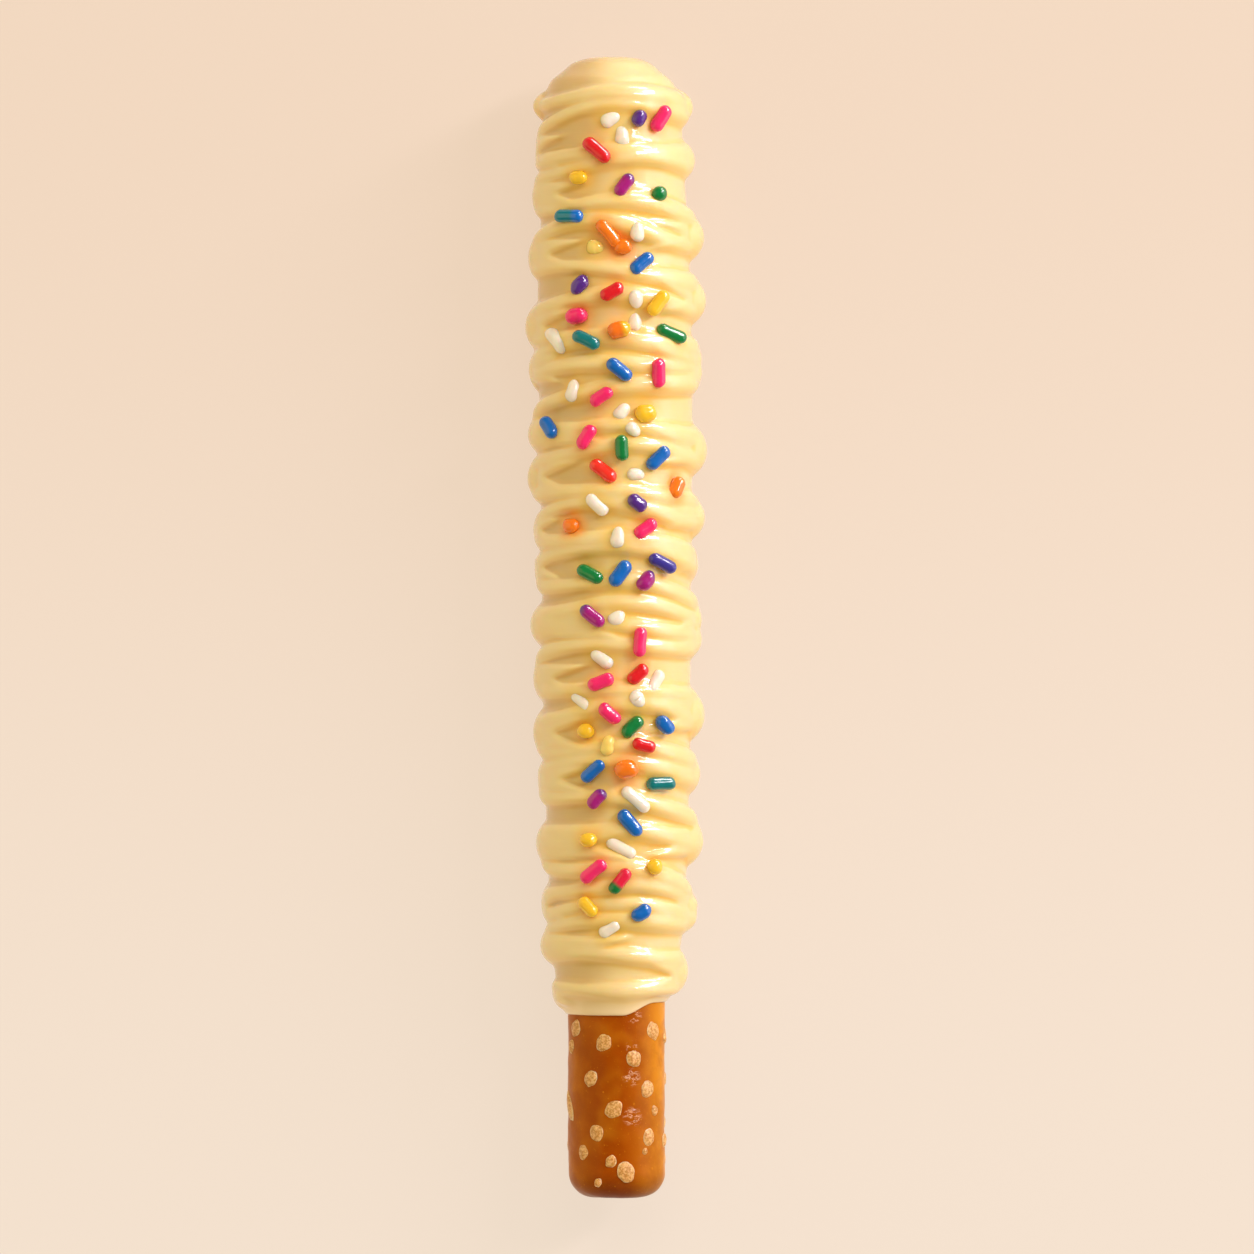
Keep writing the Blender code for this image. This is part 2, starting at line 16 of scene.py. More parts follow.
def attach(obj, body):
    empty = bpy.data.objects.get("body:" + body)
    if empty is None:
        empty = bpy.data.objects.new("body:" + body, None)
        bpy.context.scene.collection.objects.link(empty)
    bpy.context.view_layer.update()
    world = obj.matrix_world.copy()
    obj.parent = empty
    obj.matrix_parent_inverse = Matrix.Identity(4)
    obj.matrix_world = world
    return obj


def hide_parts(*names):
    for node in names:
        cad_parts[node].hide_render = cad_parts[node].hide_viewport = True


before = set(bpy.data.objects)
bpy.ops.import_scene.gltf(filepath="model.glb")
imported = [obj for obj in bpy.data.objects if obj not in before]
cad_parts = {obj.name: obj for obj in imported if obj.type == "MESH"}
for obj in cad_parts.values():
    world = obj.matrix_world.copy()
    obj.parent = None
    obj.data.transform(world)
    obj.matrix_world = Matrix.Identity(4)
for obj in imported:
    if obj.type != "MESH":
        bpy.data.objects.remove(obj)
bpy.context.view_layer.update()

MM = 0.001
SEED = 7

# The stick, as in the frame.
LENGTH = 165.0
ROD_RADIUS = 7.0
ROD_END_ROUNDING = 3.6
ROD_END_POINTS = 12
AXIS_HEIGHT = 10.0
COAT_OVER_ROD_TIP = 2.6
TOUCHING_GAP = 0.3
TIP_Y = LENGTH / 2
ROD_TOP_Y = TIP_Y - COAT_OVER_ROD_TIP
BARE_END_Y = -LENGTH / 2

# The dipped coat: distance along the stick, radius, and how far its middle strays in X.
COAT_STATIONS = (
    (82.45, 2.6, -0.6),
    (82.2, 4.3, -0.7),
    (81.6, 5.8, -0.8),
    (80.6, 6.9, -0.8),
    (79.2, 8.7, -0.8),
    (77.7, 9.5, -0.7),
    (72.7, 10.0, -0.6),
    (58.9, 10.6, -0.4),
    (48.8, 11.1, -0.3),
    (32.9, 11.1, -0.1),
    (17.7, 10.9, 0.0),
    (-3.3, 10.7, 0.0),
    (-19.3, 10.5, 0.1),
    (-35.9, 10.0, 0.1),
    (-45.3, 9.4, 0.0),
    (-50.5, 8.7, -0.2),
    (-53.6, 8.1, -0.2),
)

# The lip: it drops at the left and rises at the right, over the last stretch of the coat.
LIP_Y = -55.2
LIP_RADIUS = 7.4
LIP_BULGE = 0.15
LIP_INNER_DROP = 0.1
LIP_DROP = 0.65
LIP_RISE = 1.8
LIP_RISE_FROM = 0.12
LIP_RISE_TO = 0.78
LIP_DEPTH = 2.0
LIP_HOLD = 1.0
# How far up from the lip the candy is painted paler, as painted light where it faces away from most lights.
LIP_LIT_REACH = 3.2
LIP_FADE_ROWS = 4

# The drizzle: one strand swung from side to side. Each turn: its place along the stick, how far it
# opens above and below that place, how far it stands out from the coat, and how far in from the side
# its two strands have run together.
LEFT_TURNS = (
    (75.4, 0.5, 1.8, 3.0), (68.5, 2.0, 0.9, 1.5), (62.3, 1.35, 1.4, 7.5), (53.6, 1.75, 1.6, 6.5),
    (43.35, 1.9, 1.9, 5.5), (37.2, 1.55, 1.5, 3.5), (27.8, 1.25, 1.8, 12.0), (21.6, 1.9, 2.0, 5.0),
    (14.0, 1.25, 1.2, 3.5), (8.6, 1.2, 0.7, 4.0), (0.3, 1.55, 1.8, 12.0), (-7.45, 1.75, 1.5, 6.5),
    (-15.3, 1.9, 1.6, 6.5), (-21.9, 1.35, 1.1, 7.5), (-31.4, 1.7, 1.7, 12.0), (-40.2, 1.55, 1.3, 2.5),
    (-46.1, 1.2, 1.8, 12.0), (-53.2, 0.4, 0.9, 3.0),
)
RIGHT_TURNS = (
    (75.3, 0.6, 2.0, 3.0), (67.6, 0.85, 1.7, 5.0), (56.4, 1.6, 2.4, 5.5), (47.2, 1.55, 2.2, 5.5),
    (38.9, 0.6, 1.5, 4.0), (36.9, 0.6, 1.5, 4.0), (25.6, 1.85, 2.2, 5.5), (15.85, 1.2, 2.0, 5.0),
    (9.0, 0.55, 1.0, 4.0), (1.1, 1.0, 1.7, 4.0), (-1.7, 0.9, 1.7, 4.0), (-12.7, 1.85, 2.2, 5.5),
    (-21.3, 1.0, 1.6, 4.5), (-31.0, 1.7, 2.3, 5.5), (-40.3, 0.5, 2.0, 4.0), (-41.9, 0.5, 2.0, 4.0),
    (-50.2, 1.35, 1.8, 4.5),
)
TURN_ANGLE = math.radians(98.0)
LEFT_TURN_SHARE = 0.28
RIGHT_TURN_SHARE = 0.22
TURN_OPENS_MORE = 0.28
STRAND_HEIGHT = 1.1
STRAND_AT_TURN = 0.7

# Half the width of a strand at its left turn, where it leaves that, over the front and at its right turn.
STRAND_HALF_WIDTHS = (1.4, 1.4, 1.25, 1.55, 1.85, 1.85)
WIDTH_PLACES = (0.0, 0.16, 0.38, 0.6, 0.85, 1.0)
HEIGHT_PLACES = (0.0, 0.3, 0.7, 1.0)

# The lobe that fills a turn: where it is highest round the coat, its reach round the back, how far it
# stands past the turn's opening on the left and on the right, and how full it is.
LOBE_ANGLE = math.radians(92.0)
LOBE_BEHIND = 3.4
LEFT_LOBE_PAST = 1.7
RIGHT_LOBE_PAST = 2.0
LOBE_FULLNESS = 0.8

# The web of candy between a turn's two strands, and the pointed gap that parts it further in.
WEB_LEVEL = 1.0
WEB_GAP_OPENS = 0.33
WEB_GAP_EDGE = 0.5
WEB_PAST = 0.9

# How uneven the strands are, how sharply they meet, how blunt their upper and lower edges are, and
# the candy that has pooled between them on the front.
STRAND_UNEVENNESS = 0.1
SWELL_TURNS = (5, 11)
STRAND_JOINING = 14.0
UPPER_EDGE = 0.4
LOWER_EDGE = 0.8
POOL_DEPTH = 0.64
POOL_SPREAD = 1.0
POOL_PASSES = 26

# Each strand bows towards the tip on its way across, more on the way back to the left, and wavers.
# The last one, above the lip, lies almost straight.
ARCH_TO_LEFT = 2.2
ARCH_TO_RIGHT = 1.6
ARCH_OF_LAST = -0.4
ARCH_UNEVENNESS = 0.3
ARCH_STRAY = 0.25
ARCH_WIDTH = 0.6
STRAND_WAVER = 0.3
WAVER_TURNS = (8, 14)
ANY_PHASE = (0, 6)

# How finely the coat's skin is laid out, how softly it flows, and how it rounds into its flat spot.
SKIN_STEP = 0.26
SKIN_COLUMNS = 164
PROFILE_PASSES = 6
FRONT_DENSITY = 0.35
FLOW_PASSES = 1
POINTS_A_STRAND = 150
NEAR_STRAND = 3.0
NEAR_ANGLE = 0.35
COAT_UNEVENNESS = 0.12
COAT_LUMP_SIZE = 9.0
BACK_ROUNDING = 0.3
NOISE_SHIFT = (7.3, 3.1, 5.7)

# Where painted shade gives the candy another colour: in hollows, under strands, and in the low gaps between
# strands towards the shaded left.
HOLLOW_PASSES = 8
HOLLOW_DEPTH = 0.12
UNDER_SLOPE = 0.8
SHADED_GAP_TO_LEFT = 1.1
SHADED_GAP_SPREAD = 10.5
SHADED_GAP_FULL_AT = 0.7
SHADED_GAP_STAYS_TAN = 0.7

# Sprinkles sit part sunk, tilted a little with the drizzle. The shorter ones are fatter.
SPRINKLE_RADIUS = 1.02
SPRINKLE_SIZES = (0.95, 1.05)
SPRINKLE_SEGMENTS = 20
BEAN_RADIUS = 1.12
BEAN_LENGTH = 3.3
SPRINKLE_RISE = 0.45
SPRINKLE_CAP = 0.3
SPRINKLE_WAIST = 0.1
SPRINKLE_BEND = 0.16
SPRINKLE_LUMPS = 0.12
SPRINKLE_LUMP_SIZE = 1.3
WHITE_FULLNESS = 0.96
WHITE_BEAN_FULLNESS = 1.12
WHITE_RISE = -0.2
WHITE_TAPER = 0.25
SUNK_KINDS = ("white", "pale_yellow")
SEAT_FOLLOWS_DRIZZLE = 0.35
SEAT_FACES_UP = 0.35
DROP_HEIGHT = 60.0

# Each sprinkle: across (X), along (Y), its turn in degrees from across, its length, and its width
# where that is out of the ordinary.
SPRINKLES = {
    "white": (
        (-0.9, 73.5, 30, 3.0), (0.8, 71.1, 90, 3.1), (3.1, 57.2, 90, 2.9), (2.8, 47.5, -80, 2.6),
        (2.6, 44.1, 80, 2.7), (-8.8, 41.5, -45, 4.4), (-6.4, 34.3, 80, 3.2), (0.7, 31.2, 50, 3.0),
        (2.4, 28.6, -45, 2.4), (2.8, 22.0, 0, 2.6), (-2.8, 17.7, -42, 3.9), (0.1, 13.0, 80, 3.1),
        (0.0, 1.4, 40, 2.7), (-2.1, -4.6, -38, 3.7), (5.6, -8.0, 55, 4.1), (-5.1, -10.9, -42, 3.9),
        (3.1, -10.4, -50, 2.5), (2.8, -25.0, -40, 4.9), (0.7, -32.0, -30, 4.8), (-1.0, -43.7, 35, 3.5),
    ),
    "yellow": (
        (-5.4, 65.1, 0, 2.7), (5.9, 46.9, 50, 4.2), (4.1, 31.0, 10, 3.1, 2.8),
        (-4.3, -15.1, 0, 2.6), (-4.0, -30.8, 0, 2.6), (5.4, -34.8, 0, 2.4), (-4.0, -40.5, -45, 3.4),
    ),
    "pale_yellow": (
        (-3.1, 54.9, 0, 2.3), (-1.3, -17.1, 80, 2.9),
    ),
    "orange": (
        (-1.2, 57.0, -50, 4.6), (0.9, 55.0, 0, 2.6), (-6.4, 14.8, 0, 2.6), (1.4, -20.6, 10, 3.5, 3.05),
        (8.4, 20.2, 60, 3.4),
    ),
    "orange_to_yellow": (
        (0.4, 42.8, 15, 3.4, 2.55),
    ),
    "red": (
        (-2.8, 69.0, -40, 4.8), (-0.7, 48.5, 30, 3.7), (3.0, -6.8, 42, 3.6),
        (3.9, -17.1, -15, 3.5),
    ),
    "scarlet": (
        (-1.9, 22.6, -38, 4.5),
    ),
    "pink": (
        (6.2, 73.8, 55, 4.2), (-5.6, 45.0, 10, 3.2, 2.65), (6.0, 36.8, -87, 4.2, 2.15),
        (-2.1, 33.3, 35, 3.8), (-4.2, 27.4, 58, 3.9), (4.1, 14.2, 35, 3.9), (3.4, -2.2, 85, 4.3),
        (-2.2, -8.0, 20, 4.0), (-0.9, -12.4, -42, 3.8), (-3.2, -35.4, 38, 4.5),
    ),
    "magenta_to_purple": (
        (1.1, 64.0, 52, 3.7), (4.1, 6.7, 45, 3.1), (-2.7, -24.9, 47, 3.4), (-3.4, 1.6, 142, 4.2),
    ),
    "purple": (
        (3.2, 73.7, 60, 2.5), (-5.2, 49.5, 48, 3.2), (3.0, 18.0, -40, 3.1),
    ),
    "indigo": (
        (6.5, 9.3, -28, 4.6),
    ),
    "blue": (
        (3.6, 52.5, 40, 4.1), (0.4, 37.3, -40, 4.3), (-9.6, 28.9, -50, 3.6), (5.9, 24.5, 42, 4.3),
        (0.5, 7.7, 55, 4.3), (6.9, -14.3, -45, 3.2), (-3.3, -20.8, 42, 4.3), (1.9, -28.4, -50, 4.6),
        (3.5, -41.3, 30, 3.1),
    ),
    "teal_to_blue": (
        (-6.7, 59.4, -4, 4.5),
    ),
    "teal": (
        (-4.3, 41.5, -25, 4.3), (6.3, -22.7, 0, 4.5),
    ),
    "green": (
        (6.0, 62.7, 0, 2.4), (7.8, 42.5, -15, 4.8), (0.8, 25.9, -87, 3.8), (-3.7, 7.6, -28, 4.2),
        (2.3, -14.5, 42, 3.8),
    ),
    "red_to_green": (
        (0.5, -36.8, 232, 4.3),
    ),
}

# The colour of each kind of sprinkle (linear), and the colour that some turn to along their length.
SPRINKLE_COLOURS = {
    "white": (0.95, 0.86, 0.67),
    "yellow": (1.0, 0.59, 0.02),
    "pale_yellow": (1.0, 0.72, 0.16),
    "orange": (1.0, 0.225, 0.004),
    "orange_to_yellow": (0.98, 0.20, 0.005),
    "red": (0.78, 0.008, 0.012),
    "scarlet": (0.95, 0.035, 0.015),
    "pink": (0.95, 0.02, 0.15),
    "magenta_to_purple": (0.42, 0.008, 0.20),
    "purple": (0.10, 0.022, 0.25),
    "indigo": (0.05, 0.035, 0.30),
    "blue": (0.0, 0.145, 0.51),
    "teal_to_blue": (0.0, 0.20, 0.24),
    "teal": (0.0, 0.20, 0.19),
    "green": (0.0, 0.22, 0.04),
    "red_to_green": (0.80, 0.01, 0.05),
}
SPRINKLE_SECOND = {
    "orange_to_yellow": ((0.95, 0.50, 0.01), 0.0, 0.5),
    "magenta_to_purple": ((0.12, 0.016, 0.22), 0.3, 0.9),
    "teal_to_blue": ((0.0, 0.17, 0.58), 0.1, 0.5),
    "red_to_green": ((0.0, 0.18, 0.03), 0.15, 0.5),
}

# How strongly each kind shines into the candy next to it.
SPRINKLE_GLOW = {
    "orange": 0.6,
    "orange_to_yellow": 0.4,
    "yellow": 0.3,
    "red": 0.25,
    "pink": 0.18,
    "red_to_green": 0.15,
}
GLOW_REACH = 1.2
GLOW_WARMTH = 0.6
GLOW_COLOUR = (0.95, 0.42, 0.05)

# Colours of the candy, the crust, the salt and the floor (linear).
COAT_COLOUR = (0.88, 0.655, 0.24)
COAT_PALE_COLOUR = (0.94, 0.78, 0.43)
# Painted shade: the tan that the low gaps on the left side take.
COAT_GAP_SHADE_COLOUR = (0.68, 0.42, 0.10)
# Painted shade, warm as if lit through the candy: the colour of creases, the undersides of strands and the
# candy round sprinkles.
COAT_CREASE_SHADE_COLOUR = (0.96, 0.56, 0.05)
# Painted light: the paler colour of the candy near the lip.
LIP_LIT_COLOUR = (1.0, 0.75, 0.38)
CRUST_COLOUR = (0.385, 0.07, 0.0)
CRUST_DARK_COLOUR = (0.27, 0.042, 0.0)
CRUST_GOLDEN_COLOUR = (0.78, 0.31, 0.012)
# Painted shade: the dark brown at the bare end.
CRUST_END_SHADE_COLOUR = (0.13, 0.03, 0.004)
# Painted highlight: the pale lines drawn over the wet blisters.
CRUST_GLINT_COLOUR = (1.0, 0.62, 0.34)
SALT_COLOUR = (0.86, 0.50, 0.17)
SALT_DARK_COLOUR = (0.56, 0.235, 0.03)
SALT_RIM_COLOUR = (0.96, 0.72, 0.38)
FLOOR_COLOUR = (0.165, 0.137, 0.115)
FLOOR_GLOW = 0.74
FLOOR_GLOW_COLOUR = (1.0, 0.85, 0.70)
FLOOR_FAR_GLOW_COLOUR = (0.96, 0.75, 0.57)
FLOOR_GLOW_SPREAD = 0.09
FLOOR_SIZE = 12000.0

# Fine lines pulled along the drizzle as it flowed, mostly across the stick.
PULLED_SCALE = 1300.0
PULLED_STRETCH = (0.12, 1.0, 0.12)

# The lights: name, direction they come from, distance, size across and upwards, power and colour.
LIGHTS = (
    ("key", (0.74, 0.44, 0.52), 1100.0, (130.0, 800.0), 8.2, (0.98, 0.895, 1.0)),
    ("top", (0.44, 0.89, 0.11), 1100.0, (420.0, 190.0), 8.0, (1.0, 0.97, 0.94)),
    ("spark", (0.70, 0.60, 0.30), 1100.0, (90.0, 460.0), 6.0, (1.0, 0.98, 0.95)),
    ("side", (0.95, 0.15, 0.30), 800.0, (900.0, 500.0), 2.2, (0.94, 0.88, 1.0)),
    ("fill", (-0.90, 0.1, 0.43), 900.0, (1200.0, 1200.0), 3.6, (1.0, 0.83, 0.43)),
    ("head", (0.05, 0.60, 0.80), 1200.0, (900.0, 900.0), 6.1, (1.0, 0.94, 0.88)),
    ("bounce", (0.10, -0.85, 0.40), 1100.0, (900.0, 900.0), 3.4, (1.0, 0.90, 0.76)),
)
NOT_REFLECTED = ("head", "bounce")
ONLY_REFLECTED = ("top", "spark")
WORLD_COLOUR = (1.0, 0.93, 0.86)
WORLD_STRENGTH = 0.18

# Salt on the bare stretch: across, along, relative size and, where it is long, how much longer, on
# the front, and then rows round the rest.
FRONT_SALT = (
    (-5.9, -57.9, 1.0), (5.3, -58.3, 1.05), (-1.8, -59.9, 1.05), (2.5, -62.2, 0.95), (-3.7, -65.1, 0.95),
    (4.5, -66.6, 1.0), (-6.75, -69.2, 0.8, 2.3), (-0.4, -69.5, 1.1), (5.5, -69.8, 0.6), (-2.8, -72.9, 1.0),
    (4.7, -73.6, 0.95), (-4.8, -75.8, 0.85), (-0.8, -77.0, 0.7), (1.4, -78.6, 1.15), (4.1, -75.6, 0.4),
    (-2.7, -80.1, 0.5), (-6.5, -60.6, 0.8), (6.9, -74.2, 0.8), (6.9, -59.5, 0.6),
)
SALT_LENGTH = 2.7
SALT_WIDTH = 2.2
SALT_HEIGHT = 0.9
SALT_SUNK = 0.15
SALT_TURN = 0.5
SALT_SUBDIVISIONS = 4
SALT_LUMPS = 0.16
SALT_LUMP_PITCH = 1.3
SALT_GRIT = 0.03
SALT_GRIT_PITCH = 4.0
BACK_SALT_ROWS = 7
BACK_SALT_IN_ROW = 4
BACK_SALT_FROM = math.radians(105.0)
BACK_SALT_STEP = math.radians(42.0)
BACK_SALT_FIRST_Y = -58.5
BACK_SALT_PITCH = 3.2
BACK_SALT_STRAY_ANGLE = 0.12
BACK_SALT_STRAY = 0.6
BACK_SALT_SIZES = (0.7, 1.1)

# The crust: how finely its skin is laid out, its relief, and how strongly its left side takes the painted
# light that turns its sides golden.
CRUST_STEP = 0.3
CRUST_COLUMNS = 150
CRUST_PASSES = 2
CRUST_WAVES = 0.14
CRUST_WAVE_SIZE = 5.0
CRUST_DENTS = 0.05
CRUST_DENT_SIZE = 1.6
CRUST_UNDER_COAT = 2.0
CRUST_SHOWS_BELOW = 0.3
CRUST_LIT_SIDE_LEFT = 0.45

# Wet blisters on the front of the crust (across, along and reach), with some patches at its back.
BLISTERS = ((2.6, -56.0, 1.2), (2.2, -60.5, 0.9), (2.2, -64.9, 1.3), (2.3, -70.6, 1.4))
BLISTER_STRETCH = (0.45, 1.0, 0.45)
BLISTER_SIZE = 0.75
BLISTER_HEIGHT = 0.06
WET_PATCH_SIZE = 4.0
WET_PATCH_CONTRAST = 3
WET_PATCH_LEVEL = 0.5

# The bare end, darkened with painted shade.
CRUST_END_SHADE_FROM = -78.5
CRUST_END_SHADE_OVER = 4.0

# The photograph's frame: 1254 pixels a side, its middle a little to the right of the stick's.
PHOTO_PIXELS = 1254
MM_A_PIXEL = 0.14474
PHOTO_MIDDLE_X = 1.52
LENS = 300.0
SENSOR = 36.0
CAMERA_DISTANCE = LENS / SENSOR * PHOTO_PIXELS * MM_A_PIXEL

# The sprinkles' places are read level with the stick's axis, and they lie this much nearer the camera.
SPRINKLES_NEARER = 11.0
NEARER = 1 - SPRINKLES_NEARER / CAMERA_DISTANCE


def smooth_value(stations, column, y):
    """One column of the stations at places along the stick, on a smooth curve through them."""
    table = np.array(stations, float)
    places, values = table[::-1, 0], table[::-1, column]
    slopes = np.gradient(values, places)
    slopes[1:-1] = (values[2:] - values[:-2]) / (places[2:] - places[:-2])
    y = np.clip(np.asarray(y, float), places[0], places[-1])
    index = np.clip(np.searchsorted(places, y) - 1, 0, len(places) - 2)
    span = places[index + 1] - places[index]
    part = (y - places[index]) / span
    return (
        values[index] * (2 * part**3 - 3 * part**2 + 1)
        + slopes[index] * span * (part**3 - 2 * part**2 + part)
        + values[index + 1] * (3 * part**2 - 2 * part**3)
        + slopes[index + 1] * span * (part**3 - part**2)
    )


def coat_radius(y):
    return smooth_value(COAT_STATIONS, 1, y)


def coat_middle(y):
    return smooth_value(COAT_STATIONS, 2, y)


def even_profile(points, step, passes):
    """(radius, y) places at an even step along straight lines through the points, then softened."""
    points = np.array(points, float)
    run = np.concatenate([[0.0], np.cumsum(np.hypot(*np.diff(points, axis=0).T))])
    places = np.linspace(0.0, run[-1], int(run[-1] / step) + 1)
    line = np.stack([np.interp(places, run, points[:, side]) for side in (0, 1)], 1)
    for _ in range(passes):
        line[1:-1] = (line[:-2] + 2 * line[1:-1] + line[2:]) / 4
    return line


def turned_grid(profile, columns):
    """Places and outward directions of a skin turned round +Y, finer on the front than at the back."""
    slope = np.gradient(profile, axis=0)
    slope /= np.maximum(np.hypot(*slope.T), 1e-9)[:, None]
    angle = np.linspace(-math.pi, math.pi, columns, endpoint=False)
    angle = angle - FRONT_DENSITY * np.sin(angle)
    around = np.stack([np.sin(angle), np.zeros(columns), np.cos(angle)], 1)
    ahead = np.array([0.0, 1.0, 0.0])
    places = profile[:, None, :1] * around + profile[:, None, 1:] * ahead
    outward = -slope[:, None, 1:] * around + slope[:, None, :1] * ahead
    return places, outward, angle


def grid_mesh(name, places):
    """A skin through a grid of places, closed sideways and with one point at each end."""
    rows, columns = places.shape[:2]
    inner = places[1:-1].reshape(-1, 3)
    points = np.concatenate([inner, [places[0].mean(0)], [places[-1].mean(0)]])
    row = np.arange(rows - 3)[:, None] * columns
    here = np.arange(columns)[None]
    beside = (here + 1) % columns
    quads = np.stack([row + here, row + columns + here, row + columns + beside, row + beside], -1)
    faces = quads.reshape(-1, 4).tolist()
    last = (rows - 3) * columns
    for i in range(columns):
        j = (i + 1) % columns
        faces.append((len(inner), i, j))
        faces.append((len(inner) + 1, last + j, last + i))
    mesh = bpy.data.meshes.new(name)
    mesh.from_pydata((points * MM).tolist(), [], faces)
    mesh.shade_smooth()
    return mesh


def finished_mesh(name, shape):
    """Turns what was built up into a mesh, and frees it."""
    mesh = bpy.data.meshes.new(name)
    shape.to_mesh(mesh)
    shape.free()
    return mesh


def mark(mesh, name, grid):
    """Keeps one number a point with a mesh made by grid_mesh."""
    values = np.concatenate([grid[1:-1].ravel(), [grid[0].mean(), grid[-1].mean()]])
    mesh.attributes.new(name, "FLOAT", "POINT").data.foreach_set("value", values.astype(np.float32))


def new_piece(name, mesh, material):
    """A visible piece that rides on the part's one body."""
    piece = bpy.data.objects.new(name, mesh)
    bpy.context.scene.collection.objects.link(piece)
    mesh.materials.append(material)
    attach(piece, "root")
    return piece


def easing(part, share):
    """Falls from 1 at a turn to 0 where the strand has left it."""
    return 1 - np.sin(np.clip(part / share, 0, 1) * math.pi / 2)


def strand_path(left, right, side, chance):
    """One swing of the drizzle: its angle round the coat, its place along it, height and half width."""
    (left_y, left_opening, left_height, _), (right_y, right_opening, right_height, _) = left, right
    left_opening += TURN_OPENS_MORE
    part = np.linspace(0.0, 1.0, POINTS_A_STRAND)
    across = -np.cos(math.pi * part)
    y = (left_y - side * left_opening) * (1 - part) + (right_y + side * right_opening) * part
    y += side * left_opening * easing(part, LEFT_TURN_SHARE)
    y -= side * right_opening * easing(1 - part, RIGHT_TURN_SHARE)
    arch = ARCH_TO_RIGHT if side > 0 else ARCH_TO_LEFT
    arch *= 1 + chance.uniform(-ARCH_UNEVENNESS, ARCH_UNEVENNESS)
    if left_y == LEFT_TURNS[-1][0]:
        arch = ARCH_OF_LAST
    peak = chance.uniform(-ARCH_STRAY, ARCH_STRAY)
    free = np.sin(math.pi * part)
    y += arch * np.exp(-(((across - peak) / ARCH_WIDTH) ** 2)) * free
    waver = part * chance.uniform(*WAVER_TURNS) + chance.uniform(*ANY_PHASE)
    y += STRAND_WAVER * np.sin(waver) * free
    turns = (left_height * STRAND_AT_TURN, right_height * STRAND_AT_TURN)
    heights = (turns[0], STRAND_HEIGHT, STRAND_HEIGHT, turns[1])
    half_width = np.interp(part, WIDTH_PLACES, STRAND_HALF_WIDTHS)
    return across * TURN_ANGLE, y, np.interp(part, HEIGHT_PLACES, heights), half_width


def drizzle_paths():
    """Every strand of the zigzag, each drawn from left to right, from the tip down to the lip."""
    chance = random.Random(SEED)
    for left, right, next_left in zip(LEFT_TURNS, RIGHT_TURNS, LEFT_TURNS[1:]):
        yield strand_path(left, right, 1, chance)
        yield strand_path(next_left, right, -1, chance)


def lobe_heights(y, angle):
    """How high each turn's lobe stands, over a grid of places along the stick and round it."""
    for side, turns, past in ((-1, LEFT_TURNS, LEFT_LOBE_PAST), (1, RIGHT_TURNS, RIGHT_LOBE_PAST)):
        for middle, opening, height, closed in turns:
            around = (side * angle - LOBE_ANGLE) * coat_radius(middle)
            reach = np.where(around < 0, closed, LOBE_BEHIND)
            away = (around / reach) ** 2 + ((y - middle) / (opening + past))[:, None] ** 2
            yield height * np.clip(1 - away, 0, 1) ** LOBE_FULLNESS


def web_heights(y, angle):
    """How high the candy stands between each turn's strands, over the same grid."""
    for side, turns in ((-1, LEFT_TURNS), (1, RIGHT_TURNS)):
        for middle, opening, _, closed in turns:
            inwards = (LOBE_ANGLE - side * angle) * coat_radius(middle)
            aside = np.abs(y - middle)[:, None]
            gap = WEB_GAP_OPENS * (inwards - closed) - WEB_GAP_EDGE
            inside = np.clip((aside - gap) / WEB_GAP_EDGE, 0, 1)
            outside = np.clip((opening + WEB_PAST - aside) / WEB_PAST, 0, 1)
            behind = np.clip(1 + inwards / LOBE_BEHIND, 0, 1)
            level = inside * outside * behind
            yield WEB_LEVEL * level**2 * (3 - 2 * level)


def drizzle_height(places, angle):
    """How far the drizzle stands above the coat, over the grid of places."""
    chance = random.Random(SEED + 3)
    y = places[:, 0, 1]
    total = np.zeros(places.shape[:2])
    for strand_angle, strand_y, strand_height, strand_half_width in drizzle_paths():
        rows = np.flatnonzero((y > strand_y.min() - NEAR_STRAND) & (y < strand_y.max() + NEAR_STRAND))
        block = places[rows[0]:rows[-1] + 1]
        radius = coat_radius(strand_y)
        path = np.stack([radius * np.sin(strand_angle), strand_y, radius * np.cos(strand_angle)], 1)
        distance = np.full(block.shape[:2], NEAR_STRAND)
        along = np.zeros(block.shape[:2])
        above = np.zeros(block.shape[:2])
        for index, point in enumerate(path):
            turn = np.abs(np.angle(np.exp(1j * (angle - strand_angle[index]))))
            near = np.ix_(range(len(block)), np.flatnonzero(turn < NEAR_ANGLE))
            apart = np.sqrt(((block[near] - point) ** 2).sum(-1))
            along[near] = np.where(apart < distance[near], index / len(path), along[near])
            rise = (block[near][..., 1] - point[1]) / strand_half_width[index]
            above[near] = np.where(apart < distance[near], rise, above[near])
            distance[near] = np.minimum(apart, distance[near])
        swelling = along * chance.uniform(*SWELL_TURNS) + chance.uniform(*ANY_PHASE)
        swell = 1 + STRAND_UNEVENNESS * np.sin(swelling)
        places_along = np.linspace(0.0, 1.0, len(path))
        half_width = np.interp(along, places_along, strand_half_width)
        share = np.clip(distance / (half_width * swell), 0, 1)
        ridge = np.interp(along, places_along, strand_height)
        edge = LOWER_EDGE + (UPPER_EDGE - LOWER_EDGE) * np.clip(above + 0.5, 0, 1)
        total[rows[0]:rows[-1] + 1] += (ridge * swell * (1 - share**2) ** edge) ** STRAND_JOINING
    for filling in (*lobe_heights(y, angle), *web_heights(y, angle)):
        total += filling**STRAND_JOINING
    height = total ** (1 / STRAND_JOINING)
    pooled = POOL_DEPTH * np.exp(-((angle / POOL_SPREAD) ** 2)) * soften(height, POOL_PASSES)
    return (height**STRAND_JOINING + pooled**STRAND_JOINING) ** (1 / STRAND_JOINING)


